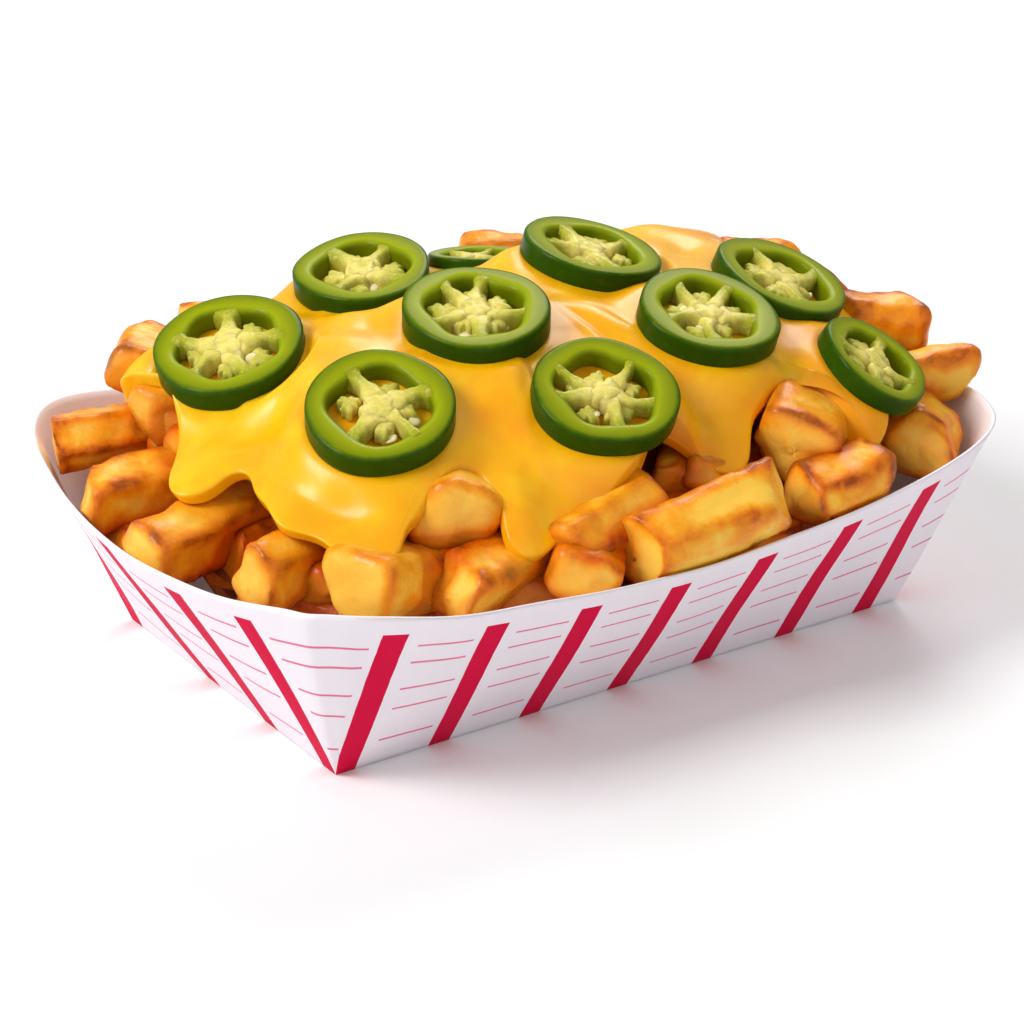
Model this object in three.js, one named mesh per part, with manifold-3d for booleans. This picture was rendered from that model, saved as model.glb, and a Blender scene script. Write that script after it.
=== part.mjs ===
// A paper food tray heaped with thick-cut fries, a blanket of cheese sauce and slices of pickled pepper.
// Millimetres, +Z up, origin in the middle of the tray's base, X along the tray's long side.
import * as THREE from 'three';
import { mergeVertices } from 'three/addons/utils/BufferGeometryUtils.js';
import Module from 'manifold-3d';

const wasm = await Module();
wasm.setup();

// ---- Driving dimensions -------------------------------------------------------------------------

// The tray: a rectangular base, walls that lean out to a rounded rim, corners higher than the sides.
const BASE_HALF_LENGTH = 68;
const BASE_HALF_WIDTH = 40;
const RIM_HALF_LENGTH = 92;
const RIM_HALF_WIDTH = 64;
const RIM_END_POWER = 9;
const RIM_SIDE_POWER = 2.2;
const RIM_MEAN_HEIGHT = 36.75;
const CORNER_LIFT = 7.25;
const END_LIFT = 1.75;
const LIFT_POWER = 1.75;
const PAPER = 0.6;

// Where the flat end wall and the flat side wall give way to the corner's cone, on the rim.
const CORNER_FROM_Y = 50;
const CORNER_TO_X = 74;
const END_COLUMNS = 3;
const CORNER_COLUMNS = 4;
const SIDE_COLUMNS = 5;

// The heap: a dome whose top lies a little off the middle of the tray.
const DOME_X = 6;
const DOME_Y = 5;
const DOME_REACH_X = 97;
const DOME_REACH_FRONT = 68;
const DOME_REACH_BACK = 65;
const DOME_FOOT = 36;
const DOME_RISE = 31.5;
const DOME_POWER_LEFT = 2.8;
const DOME_POWER_RIGHT = 3;
const DOME_POWER_FRONT = 2;
const DOME_POWER_BACK = 3.2;

// The packed fries below the dome, deeper where no cheese covers them, and their gap to the paper.
const CORE_DEPTH = 7.8;
const BARE_DEPTH = 4;
const BARE_FROM = 0.85;
const BARE_TO = 1.05;
const CORE_EDGE = 0.8;
const CORE_RINGS = [0.9, 0.75, 0.55, 0.3];
const WALL_GAP = 0.5;
const TOUCH_GAP = 0.3;
const SKY = 120;

// Points closer than this are one point: in a lofted surface, and in a surface read as a solid.
const LOFT_WELD = 1e-3;
const SOLID_WELD = 1e-4;

// The cheese sauce: its depth over the packed fries and the round bead along its edge.
const CHEESE_DEPTH = 6.2;
const CHEESE_BEAD = 3.2;
const CHEESE_BEAD_SHARE = 0.125;
const CHEESE_RINGS = [0.35, 0.65, 0.85, 0.96];

// A fry: an eight-sided stick, its long edges cut off, that narrows a little to one end.
const FRY_BEVEL = 0.3;
const FRY_TAPER = 0.9;

// The pepper slices: wall of the ring, pale hub and its arms.
const RING_SIDES = 20;
const RING_WALL = 0.29;
const HUB = 0.2;
const ARM_HALF_WIDTH = 0.085;
const CHAMBER_STEPS = 3;
const CHAMBER_TURN = 0.35;

// Fries that stick out in front and at the ends: middle x, y, z, then length, width, height,
// then heading, pitch and roll in degrees.
const OUTER_FRIES = [
  [-71.2, 40.8, 41.8, 27.7, 11, 11, -3.4, 0, 15],
  [-59.8, 46.2, 53.4, 17, 12, 11.5, 50, 0, 20],
  [-40, 53.2, 56, 15, 11, 10, -33, 0, 0],
  [-51.8, -36.9, 36.5, 31, 17, 13.5, 22, -14, 5],
  [-32.6, -44.9, 36.3, 32, 13.5, 12, 16, 0, 10],
  [-34.6, -29.4, 45, 26, 16.5, 16, 64, -6, 32],
  [-15.2, -48.2, 36.4, 28, 13.5, 12, 48, 4, 20],
  [-11.8, -48.3, 41.8, 26, 12, 12, 16.7, 7.9, 42],
  [17.1, -33.5, 42, 24, 9.5, 9.5, 45, 0, 15],
  [5, -58.8, 40.8, 37.5, 13, 14, -0.9, 10.3, 33],
  [40.7, -41.6, 45.5, 22, 17, 16, 45, 0, 25],
  [39.4, -56.6, 39.5, 21, 13, 13, 3, 7, 12],
  [71, -43.2, 38, 18, 15, 14, 45, 0, 8],
  [78.8, -32.4, 45.5, 24, 11, 11.5, -11, 0, -5],
  [81.2, -13.9, 50.8, 22, 12.5, 11.5, -30, -3, 10],
  [68.2, 0.5, 56, 26, 11, 10, -25, 0, 0],
  [20.9, -37.9, 44, 24, 9, 9, 50, 0, 30],
  [69.1, 11.5, 58, 18, 11, 10, -33, 0, 0],
  [28.8, 47.9, 56, 18, 11, 10, -33, 0, 0],
  [-72, 20.2, 38.8, 34, 12, 12, -2, 0, 6],
  [-71.5, 1, 37.3, 35, 13, 13, 13, 2, 12],
  [-63, -21.5, 37, 30, 12.5, 12.5, 14, 2, 38],
  [-38.8, -39.2, 36.4, 26, 11, 11, 10, 6, 8],
  [54.8, 20.6, 54, 17, 12, 11, -33, 0, 0],
  [3, 46, 45, 34, 12, 12, 8, 0, 10],
  [-58, 34.2, 49, 24, 12.5, 12.5, 30, 0, 10],
];

// Fries round the back, worked out by a rule: how many, how far out, and how high above the rim.
// Those along the side lie above and below their row in turn by its stack, and are shorter by as much.
const BACK_ROWS = [
  { count: 11, from: -4, to: 127, reach: 0.85, rise: 3, length: 36, swing: 22, stack: 6 },
  { count: 9, from: 8, to: 132, reach: 0.7, rise: 8, length: 30, swing: 55, stack: 0 },
];
const BACK_HALF_LENGTH = 88;
const BACK_HALF_WIDTH = 60;
const BACK_WIDTH = 12;
const BACK_HEIGHT = 11.5;

// How far each back fry strays: its share of a step round the row, then millimetres and degrees.
// Each row counts its pieces from a number of its own.
const PIECES_PER_ROW = 20;
const STRAY_STEP = 0.3;
const STRAY_RISE = 2;
const STRAY_LENGTH = 4;
const STRAY_PITCH = 6;
const STRAY_ROLL = 20;

// Past this cosine of its bearing, a back fry lies along the tray's end, at this heading.
const END_FROM_COSINE = 0.88;
const END_HEADING = 80;

// The edge of the cheese: bearing in degrees from the middle of the tray, and reach.
const CHEESE_EDGE = [
  [0, 74], [13.5, 79.3], [21.5, 73.2], [31, 73.6], [41, 63.9], [53, 69], [56.5, 67.1],
  [57, 54.4], [57.5, 53.4], [71, 51.8], [78, 48.1], [84, 50.1], [90, 56.8], [93, 58],
  [103, 49.3], [112, 50.7], [118.5, 61.3], [123, 62.1], [129, 59.1], [133.5, 60.8],
  [135, 66.5], [137, 70.2], [141.5, 70.6], [148.5, 77.8], [151.5, 78.3], [158.5, 67.4],
  [169, 72.1], [180, 79], [182, 76.4], [182.5, 68.6], [183.5, 67.1], [199.5, 75.2],
  [208, 73.7], [213, 78.7], [218.5, 72.1], [219, 62], [219.5, 61.3], [220, 55.6],
  [223.5, 49.4], [228.5, 46.8], [233.5, 52.1], [236.5, 61.6], [239.5, 62.7], [247.5, 55.8],
  [258.5, 49.3], [270, 44.3], [283, 39.1], [286.5, 43.5], [288, 52.6], [294.5, 54.9],
  [305, 50.3], [313.5, 52.2], [314, 75], [322, 73.4], [327.5, 78.2], [337, 80.2], [347, 81],
];

// The pepper slices: middle x, y, z, diameter, thickness, tilt and its bearing, chambers.
const SLICES = [
  [-52.4, 23.6, 61.7, 30.6, 5.2, 17, 212, 5],
  [-16, 32, 67, 28.5, 5.2, 8, 205, 4],
  [-12, -4, 69.4, 29, 5.8, 12, 240, 5],
  [-44, -19, 62, 29.5, 5.2, 22, 240, 4],
  [-2, -34, 60.6, 28.6, 5.2, 24, 260, 5],
  [25, 10, 69.9, 28.5, 4.8, 14, 325, 4],
  [31.6, -21.8, 65.3, 28.2, 5, 17, 280, 5],
  [59.8, -8.4, 62, 29, 4.8, 21, 315, 4],
  [60.8, -38.4, 54, 24.4, 4.4, 33, 310, 4],
  [11, 31.5, 64.4, 20, 4, 13, 60, 4],
];

// ---- Materials ----------------------------------------------------------------------------------

const paper = new THREE.MeshStandardMaterial({ color: 0xe6dee2, roughness: 0.7, metalness: 0 });
const friedPotato = new THREE.MeshStandardMaterial({ color: 0xd98a35, roughness: 0.55, metalness: 0 });
const cheeseSauce = new THREE.MeshStandardMaterial({ color: 0xfcc42c, roughness: 0.3, metalness: 0 });
const pepper = new THREE.MeshStandardMaterial({ color: 0x6f8f22, roughness: 0.35, metalness: 0 });

// ---- Helpers ------------------------------------------------------------------------------------

const WOBBLE_PIECE = 12.9898;
const WOBBLE_TRAIT = 78.233;
const WOBBLE_SIZE = 43758.5453;

const degrees = (angle) => THREE.MathUtils.degToRad(angle);
const bearingOf = (x, y) => THREE.MathUtils.radToDeg(Math.atan2(y, x));

/** A repeatable number between -1 and 1 for a piece and a trait of it: the fraction of a large sine. */
function wobble(piece, trait) {
  const value = Math.sin(piece * WOBBLE_PIECE + trait * WOBBLE_TRAIT) * WOBBLE_SIZE;
  return 2 * (value - Math.floor(value)) - 1;
}

/** A closed geometry from points and triangles, without the triangles that have no area. */
function closedGeometry(points, faces) {
  const loose = new THREE.BufferGeometry();
  loose.setAttribute('position', new THREE.Float32BufferAttribute(points.flat(), 3));
  loose.setIndex(faces.flat());
  const merged = mergeVertices(loose, LOFT_WELD);
  const index = Array.from(merged.index.array);
  const kept = [];
  for (let i = 0; i < index.length; i += 3) {
    const [a, b, c] = index.slice(i, i + 3);
    if (a !== b && b !== c && c !== a) kept.push(a, b, c);
  }
  merged.setIndex(kept);
  return merged;
}

/**
 * The stacked rings of points, each joined to the next, with the first and last ones closed.
 * Every diagonal rises the same way round, so that one warped wall inside another stays parallel to it.
 */
function loftRings(rings) {
  const points = rings.flat();
  const faces = [];
  const sides = rings[0].length;
  for (let r = 0; r + 1 < rings.length; r += 1) {
    const falls = rings[r][0][2] > rings[r + 1][0][2];
    for (let i = 0; i < sides; i += 1) {
      const a = r * sides + i;
      const b = r * sides + ((i + 1) % sides);
      if (falls) faces.push([a, b, a + sides], [b, b + sides, a + sides]);
      else faces.push([a, b, b + sides], [a, b + sides, a + sides]);
    }
  }
  const last = (rings.length - 1) * sides;
  const middle = (ring) => [0, 1, 2].map((k) => ring.reduce((sum, p) => sum + p[k], 0) / sides);
  points.push(middle(rings[0]), middle(rings[rings.length - 1]));
  for (let i = 0; i < sides; i += 1) {
    const next = (i + 1) % sides;
    faces.push([next, i, points.length - 2], [last + i, last + next, points.length - 1]);
  }
  return closedGeometry(points, faces);
}

/** The geometry as a solid that can be joined and cut. */
function toSolid(geometry) {
  const bare = geometry.clone();
  bare.deleteAttribute('normal');
  bare.deleteAttribute('uv');
  const merged = mergeVertices(bare, SOLID_WELD);
  return new wasm.Manifold(new wasm.Mesh({
    numProp: 3,
    vertProperties: new Float32Array(merged.attributes.position.array),
    triVerts: new Uint32Array(merged.index.array),
  }));
}

/** The solid's surface as a geometry. */
function toGeometry(solid) {
  const mesh = solid.getMesh();
  const geometry = new THREE.BufferGeometry();
  geometry.setAttribute('position', new THREE.Float32BufferAttribute(mesh.vertProperties, 3));
  geometry.setIndex(Array.from(mesh.triVerts));
  geometry.computeVertexNormals();
  return geometry;
}

/** The largest of the bodies that a cut has left. */
function largestBody(solid) {
  const bodies = solid.decompose();
  return bodies.reduce((best, body) => (body.volume() > best.volume() ? body : best));
}

function namedMesh(name, geometry, material) {
  const mesh = new THREE.Mesh(geometry, material);
  mesh.name = name;
  return mesh;
}

// ---- The tray -----------------------------------------------------------------------------------

/** Half the rim's length at a given y. */
function rimX(y) {
  return RIM_HALF_LENGTH * (1 - (y / RIM_HALF_WIDTH) ** RIM_SIDE_POWER) ** (1 / RIM_END_POWER);
}

/** Half the rim's width at a given x. */
function rimY(x) {
  return RIM_HALF_WIDTH * (1 - (x / RIM_HALF_LENGTH) ** RIM_END_POWER) ** (1 / RIM_SIDE_POWER);
}

/** One quarter of the rim, from the middle of an end to the middle of a side, with its base points. */
function quarterColumns() {
  const columns = [];
  for (let i = 0; i < END_COLUMNS; i += 1) {
    const y = (CORNER_FROM_Y * i) / END_COLUMNS;
    columns.push({ rim: [rimX(y), y], base: [BASE_HALF_LENGTH, (BASE_HALF_WIDTH * i) / END_COLUMNS] });
  }
  const cornerToY = rimY(CORNER_TO_X);
  for (let i = 0; i < CORNER_COLUMNS; i += 1) {
    const y = CORNER_FROM_Y + ((cornerToY - CORNER_FROM_Y) * i) / CORNER_COLUMNS;
    columns.push({ rim: [rimX(y), y], base: [BASE_HALF_LENGTH, BASE_HALF_WIDTH] });
  }
  for (let i = 0; i < SIDE_COLUMNS; i += 1) {
    const x = CORNER_TO_X * (1 - i / SIDE_COLUMNS);
    columns.push({ rim: [x, rimY(x)], base: [BASE_HALF_LENGTH * (1 - i / SIDE_COLUMNS), BASE_HALF_WIDTH] });
  }
  return columns;
}

/** All the columns of the wall, once round, counter-clockwise seen from above. */
function trayColumns() {
  const quarter = quarterColumns();
  const middleOfSide = { rim: [0, RIM_HALF_WIDTH], base: [0, BASE_HALF_WIDTH] };
  const half = [...quarter, middleOfSide];
  for (const column of quarter.slice(1).reverse()) {
    half.push({ rim: [-column.rim[0], column.rim[1]], base: [-column.base[0], column.base[1]] });
  }
  const turned = half.map(({ rim, base }) => ({ rim: [-rim[0], -rim[1]], base: [-base[0], -base[1]] }));
  return [...half, ...turned];
}

const COLUMNS = trayColumns();

/** How much a rim point belongs to the end wall and to the side wall. */
function rimShares([x, y]) {
  const end = Math.abs(x / RIM_HALF_LENGTH) ** LIFT_POWER;
  const side = Math.abs(y / RIM_HALF_WIDTH) ** LIFT_POWER;
  return { end, side, corner: end * side };
}

const CORNER_SHARE = Math.max(...COLUMNS.map(({ rim }) => rimShares(rim).corner));

function rimHeight(rim) {
  const { end, side, corner } = rimShares(rim);
  return RIM_MEAN_HEIGHT + (CORNER_LIFT * corner) / CORNER_SHARE + END_LIFT * (end - side);
}

/** The ring of points at a share of the wall's height, drawn in from the outer face by an inset. */
function wallRing(share, inset) {
  return COLUMNS.map(({ rim, base }) => {
    const scaleX = (half) => 1 - inset / half;
    const x0 = base[0] * scaleX(BASE_HALF_LENGTH);
    const y0 = base[1] * scaleX(BASE_HALF_WIDTH);
    const x1 = rim[0] * scaleX(RIM_HALF_LENGTH);
    const y1 = rim[1] * scaleX(RIM_HALF_WIDTH);
    return [x0 + (x1 - x0) * share, y0 + (y1 - y0) * share, rimHeight(rim) * share];
  });
}

function trayGeometry() {
  const floor = wallRing(0, PAPER).map(([x, y]) => [x, y, PAPER]);
  return loftRings([wallRing(0, 0), wallRing(1, 0), wallRing(1, PAPER), floor]);
}

// ---- The heap of fries --------------------------------------------------------------------------

/** Height of the heap's dome above the base. */
function domeHeight(x, y) {
  const powerX = x < DOME_X ? DOME_POWER_LEFT : DOME_POWER_RIGHT;
  const alongX = (Math.abs(x - DOME_X) / DOME_REACH_X) ** powerX;
  const [reachY, powerY] = y < DOME_Y
    ? [DOME_REACH_FRONT, DOME_POWER_FRONT]
    : [DOME_REACH_BACK, DOME_POWER_BACK];
  const alongY = (Math.abs(y - DOME_Y) / reachY) ** powerY;
  return DOME_FOOT + DOME_RISE * Math.max(0, 1 - alongX) * Math.max(0, 1 - alongY);
}

/** The packed fries below the outer ones, as one block that fills the tray, grown by a margin. */
function coreGeometry(grow) {
  const inset = PAPER + WALL_GAP + TOUCH_GAP - grow;
  const bottom = wallRing(0, inset).map(([x, y]) => [x, y, PAPER + 2 * TOUCH_GAP - grow]);
  const edge = wallRing(CORE_EDGE, inset);
  const rings = CORE_RINGS.map((ring) => edge.map(([wallX, wallY]) => {
    const x = wallX * ring;
    const y = wallY * ring;
    const share = Math.hypot(x, y) / cheeseReach(bearingOf(x, y));
    const bare = THREE.MathUtils.smoothstep(share, BARE_FROM, BARE_TO);
    return [x, y, domeHeight(x, y) - CORE_DEPTH - BARE_DEPTH * bare + grow];
  }));
  return loftRings([bottom, edge.map(([x, y, z]) => [x, y, z + grow]), ...rings]);
}

/** One fry as a solid, its sides grown by a margin. */
function frySolid([x, y, z, length, width, height, heading, pitch, roll], grow) {
  const ring = (along, scale) => {
    const halfWidth = (width / 2 + grow) * scale;
    const halfHeight = (height / 2 + grow) * scale;
    const inner = 1 - FRY_BEVEL;
    const corners = [[1, -inner], [1, inner], [inner, 1], [-inner, 1], [-1, inner], [-1, -inner],
      [-inner, -1], [inner, -1]];
    return corners.map(([side, up]) => [along, side * halfWidth, up * halfHeight]);
  };
  const end = length / 2 + grow;
  const geometry = loftRings([ring(-end, 1), ring(end, FRY_TAPER)]);
  const turn = new THREE.Matrix4().makeRotationFromEuler(
    new THREE.Euler(degrees(roll), -degrees(pitch), degrees(heading), 'ZYX'),
  );
  geometry.applyMatrix4(turn);
  geometry.translate(x, y, z);
  return toSolid(geometry);
}

/** The fries round the back: each row follows a rounded oblong, and each fry strays from it a little. */
function backFries() {
  const fries = [];
  for (const [row, { count, from, to, reach, rise, length, swing, stack }] of BACK_ROWS.entries()) {
    for (let i = 0; i < count; i += 1) {
      const piece = PIECES_PER_ROW * row + i;
      const bearing = degrees(from + ((to - from) * (i + STRAY_STEP * wobble(piece, 1))) / (count - 1));
      const along = Math.cos(bearing);
      const across = Math.sin(bearing);
      const atEnd = Math.abs(along) > END_FROM_COSINE;
      const endHeading = atEnd ? END_HEADING : 0;
      const step = atEnd ? 0 : stack * (i % 2 ? 1 : -1);
      fries.push([
        BACK_HALF_LENGTH * reach * Math.sign(along) * Math.sqrt(Math.abs(along)),
        BACK_HALF_WIDTH * reach * Math.sign(across) * Math.sqrt(Math.abs(across)),
        DOME_FOOT + rise + step + STRAY_RISE * wobble(piece, 2),
        length - Math.abs(step) + STRAY_LENGTH * wobble(piece, 3),
        BACK_WIDTH + wobble(piece, 4),
        BACK_HEIGHT + wobble(piece, 5),
        endHeading + swing * wobble(piece, 6),
        STRAY_PITCH * wobble(piece, 7),
        STRAY_ROLL * wobble(piece, 8),
      ]);
    }
  }
  return fries;
}

const ALL_FRIES = [...OUTER_FRIES, ...backFries()];

/** The room inside the tray, open upwards, that the fries stay in. */
function roomSolid(grow) {
  const inset = PAPER + WALL_GAP - grow;
  const bottom = wallRing(0, inset).map(([x, y]) => [x, y, PAPER + TOUCH_GAP - grow]);
  const rim = wallRing(1, inset);
  return toSolid(loftRings([bottom, rim, rim.map(([x, y]) => [x, y, SKY])]));
}

function heapSolid(grow) {
  let heap = toSolid(coreGeometry(grow));
  for (const fry of ALL_FRIES) heap = heap.add(frySolid(fry, grow));
  return heap.intersect(roomSolid(grow));
}

// ---- The pepper slices --------------------------------------------------------------------------

/** Places a geometry made round the Z axis where a slice lies. */
function placeSlice(geometry, [x, y, z, , , tilt, bearing]) {
  const lean = new THREE.Vector3(-Math.sin(degrees(bearing)), Math.cos(degrees(bearing)), 0);
  geometry.applyQuaternion(new THREE.Quaternion().setFromAxisAngle(lean, degrees(tilt)));
  geometry.translate(x, y, z);
  return geometry;
}

/** The outline of one seed chamber between two arms of the hub. */
function chamberPath(radius, start, end) {
  const outer = radius * (1 - RING_WALL);
  const inner = radius * HUB;
  const armAtOuter = (radius * ARM_HALF_WIDTH) / outer;
  const armAtInner = (radius * ARM_HALF_WIDTH) / inner;
  const path = new THREE.Path();
  for (let i = 0; i <= CHAMBER_STEPS; i += 1) {
    const angle = THREE.MathUtils.lerp(start + armAtOuter, end - armAtOuter, i / CHAMBER_STEPS);
    const point = [outer * Math.cos(angle), outer * Math.sin(angle)];
    if (i === 0) path.moveTo(...point);
    else path.lineTo(...point);
  }
  path.lineTo(inner * Math.cos(end - armAtInner), inner * Math.sin(end - armAtInner));
  path.lineTo(inner * Math.cos(start + armAtInner), inner * Math.sin(start + armAtInner));
  path.closePath();
  return path;
}

function sliceGeometry(slice, number) {
  const [, , , diameter, thickness, , , chambers] = slice;
  const radius = diameter / 2;
  const outline = [];
  for (let i = 0; i < RING_SIDES; i += 1) {
    const angle = (2 * Math.PI * i) / RING_SIDES;
    outline.push(new THREE.Vector2(radius * Math.cos(angle), radius * Math.sin(angle)));
  }
  const shape = new THREE.Shape(outline);
  for (let i = 0; i < chambers; i += 1) {
    const start = (2 * Math.PI * (i + CHAMBER_TURN * wobble(number, 1))) / chambers;
    shape.holes.push(chamberPath(radius, start, start + (2 * Math.PI) / chambers));
  }
  const geometry = new THREE.ExtrudeGeometry(shape, { depth: thickness, bevelEnabled: false });
  geometry.translate(0, 0, -thickness / 2);
  return placeSlice(geometry, slice);
}

/** The room that a slice takes up, chambers included, with the touching gap round it. */
function sliceRoom(slice) {
  const [, , , diameter, thickness] = slice;
  const radius = diameter / 2 + TOUCH_GAP;
  const disc = new THREE.CylinderGeometry(radius, radius, thickness + 2 * TOUCH_GAP, RING_SIDES);
  disc.rotateX(Math.PI / 2);
  return toSolid(placeSlice(disc, slice));
}

// ---- The cheese ---------------------------------------------------------------------------------

/** How far the cheese reaches from the middle of the tray at a bearing. */
function cheeseReach(bearing) {
  const turn = ((bearing % 360) + 360) % 360;
  const next = CHEESE_EDGE.findIndex(([angle]) => angle > turn);
  const [angle1, reach1] = next < 0 ? [360, CHEESE_EDGE[0][1]] : CHEESE_EDGE[next];
  const [angle0, reach0] = CHEESE_EDGE[(next < 0 ? CHEESE_EDGE.length : next) - 1];
  const share = (turn - angle0) / (angle1 - angle0);
  return THREE.MathUtils.lerp(reach0, reach1, share * share * (3 - 2 * share));
}

/** The blanket of cheese before the fries and slices are cut out of it. */
function cheeseBlanket() {
  const ring = (share, drop) => CHEESE_EDGE.map(([bearing, reach]) => {
    const x = reach * share * Math.cos(degrees(bearing));
    const y = reach * share * Math.sin(degrees(bearing));
    return [x, y, domeHeight(x, y) - drop];
  });
  const under = CHEESE_RINGS.map((share) => ring(share, CHEESE_DEPTH));
  const over = [...CHEESE_RINGS].reverse().map((share) => {
    const fromEdge = Math.min(1, (1 - share) / CHEESE_BEAD_SHARE);
    return ring(share, CHEESE_BEAD * (1 - Math.sqrt(1 - (1 - fromEdge) ** 2)));
  });
  return toSolid(loftRings([...under, ring(1, CHEESE_DEPTH), ring(1, CHEESE_BEAD), ...over]));
}

// ---- The object ---------------------------------------------------------------------------------

const object = new THREE.Group();
object.add(namedMesh('tray', trayGeometry(), paper));

const rooms = SLICES.map(sliceRoom);
let heap = heapSolid(0);
let cheese = cheeseBlanket().subtract(heapSolid(TOUCH_GAP)).intersect(roomSolid(0));
for (const room of rooms) {
  heap = heap.subtract(room);
  cheese = cheese.subtract(room);
}
object.add(namedMesh('fries_heap', toGeometry(largestBody(heap)), friedPotato));
object.add(namedMesh('cheese_sauce', toGeometry(largestBody(cheese)), cheeseSauce));

SLICES.forEach((slice, i) => {
  const name = `pepper_slice_${String(i + 1).padStart(2, '0')}`;
  object.add(namedMesh(name, sliceGeometry(slice, i + 1), pepper));
});

export default object;
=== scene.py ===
import math

import bpy
import numpy as np
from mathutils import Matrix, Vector


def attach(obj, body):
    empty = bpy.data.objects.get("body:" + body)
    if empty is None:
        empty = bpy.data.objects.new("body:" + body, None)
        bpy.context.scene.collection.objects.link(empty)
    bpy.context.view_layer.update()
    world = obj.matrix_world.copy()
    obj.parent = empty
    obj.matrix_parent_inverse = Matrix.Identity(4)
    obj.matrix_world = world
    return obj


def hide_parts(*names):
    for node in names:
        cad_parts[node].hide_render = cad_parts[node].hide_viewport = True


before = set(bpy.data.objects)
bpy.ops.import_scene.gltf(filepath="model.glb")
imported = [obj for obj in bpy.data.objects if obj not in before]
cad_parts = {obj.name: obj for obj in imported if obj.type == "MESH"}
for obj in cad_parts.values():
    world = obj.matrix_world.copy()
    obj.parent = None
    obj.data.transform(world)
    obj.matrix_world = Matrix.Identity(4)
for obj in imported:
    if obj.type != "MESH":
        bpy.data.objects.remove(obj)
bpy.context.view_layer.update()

bl_info = {
    "name": "Tray of Cheese Fries",
    "version": (1, 0, 0),
    "blender": (4, 5, 0),
    "location": "3D View > Sidebar > Cheese Fries",
    "description": "Builds a printed paper tray heaped with fries, cheese sauce and pepper slices",
    "category": "Add Mesh",
}

# Lengths below are in millimetres; mesh_object turns them to metres.
MM = 0.001

# The heap's dome: its middle, how far it reaches each way, its foot and its rise.
DOME_X, DOME_Y = 6.0, 5.0
DOME_REACH_X, DOME_REACH_FRONT, DOME_REACH_BACK = 97.0, 68.0, 65.0
DOME_FOOT, DOME_RISE = 36.0, 31.5
DOME_POWER_LEFT, DOME_POWER_RIGHT, DOME_POWER_FRONT, DOME_POWER_BACK = 2.8, 3.0, 2.0, 3.2
# The tray: half sizes of its base and rim, the rim's outline |x/92|^9 + |y/64|^2.2 = 1 and its height at
# the middle of a side, with how much the corners and the ends stand above that.
BASE_X, BASE_Y = 68.0, 40.0
RIM_X, RIM_Y = 92.0, 64.0
RIM_POWER_X, RIM_POWER_Y, RISE_POWER = 9, 2.2, 1.75
RIM_HEIGHT, CORNER_RISE, END_RISE = 36.75, 7.25, 1.75
CORNER_SHARE = 0.637
# Where the rim's straight parts give way to a corner, and where the corner's crease meets the rim.
CORNER_FROM_X, CORNER_FROM_Y = 74.0, 50.0
CREASE_X, CREASE_Y = 81.5, 53.1
# Steps along the half perimeter: an end, a corner, a long side. Rows up the wall.
PERIMETER_STEPS = (90, 14, 130)
WALL_ROWS = 34
# Least gap between the filling and the tray's walls.
WALL_GAP = 1.4
# Fries that show round the heap: x, y, z, length, width, height, heading, pitch, roll, and how brown.
# The first nineteen stand proud of the sauce; the rest lie under it.
OUTER_FRIES = [
    (-71.2, 40.8, 41.8, 27.7, 11, 11, -3.4, 0, 15, 0.4),
    (-59.8, 46.2, 53.4, 17, 12, 11.5, 50, 0, 20, 0.35),
    (-40, 53.2, 56, 15, 11, 10, -33, 0, 0, 0.5),
    (-51.8, -36.9, 36.5, 31, 17, 13.5, 22, -14, 5, 0.0),
    (-32.6, -44.9, 36.3, 32, 13.5, 12, 16, 0, 10, 0.38),
    (-34.6, -29.4, 45.0, 26, 16.5, 16, 64, -6, 32, 0.15),
    (-15.2, -48.2, 36.4, 28, 13.5, 12, 48, 4, 20, 0.6),
    (-11.8, -48.3, 41.8, 26, 12, 12, 16.7, 7.9, 42, 0.55),
    (17.1, -33.5, 42, 24, 9.5, 9.5, 45, 0, 15, 0.75),
    (5, -58.8, 40.8, 37.5, 13, 14, -0.9, 10.3, 33, 0.3),
    (40.7, -41.6, 45.5, 22, 17, 16, 45, 0, 25, 0.65),
    (39.4, -56.6, 39.5, 21, 13, 13, 3, 7, 12, 1.0),
    (71, -43.2, 38, 18, 15, 14, 45, 0, 8, 0.45),
    (78.8, -32.4, 45.5, 24, 11, 11.5, -11, 0, -5, 0.1),
    (81.2, -13.9, 50.8, 22, 12.5, 11.5, -30, -3, 10, 0.85),
    (68.2, 0.5, 56, 26, 11, 10, -25, 0, 0, 0.6),
    (20.9, -37.9, 44, 24, 9, 9, 50, 0, 30, 0.8),
    (69.1, 11.5, 58, 18, 11, 10, -33, 0, 0, 0.6),
    (28.8, 47.9, 56, 18, 11, 10, -33, 0, 0, 0.5),
    (-72, 20.2, 38.8, 34, 12, 12, -2, 0, 6, 0.4),
    (-71.5, 1, 37.3, 35, 13, 13, 13, 2, 12, 0.4),
    (-63, -21.5, 37, 30, 12.5, 12.5, 14, 2, 38, 0.5),
    (-38.8, -39.2, 36.4, 26, 11, 11, 10, 6, 8, 0.4),
    (54.8, 20.6, 54, 17, 12, 11, -33, 0, 0, 0.4),
    (3, 46, 45, 34, 12, 12, 8, 0, 10, 0.6),
    (-58, 34.2, 49, 24, 12.5, 12.5, 30, 0, 10, 0.45),
]
PROUD_FRIES = 19
# Rows of fries round the back: count, bearings from and to, share of the reach, rise, length, swing,
# and how far its fries along the side lie above and below the row in turn.
BACK_ROWS = [
    (11, -4, 127, 0.85, 3, 36, 22, 6),
    (9, 8, 132, 0.7, 8, 30, 55, 0),
]
# How far the back rows reach, a back fry's width and height, and how each strays from its row.
PIECES_PER_ROW = 20
BACK_X, BACK_Y = 88.0, 60.0
BACK_WIDTH, BACK_HEIGHT = 12.0, 11.5
END_FROM_COSINE, END_HEADING = 0.88, 80.0
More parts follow.
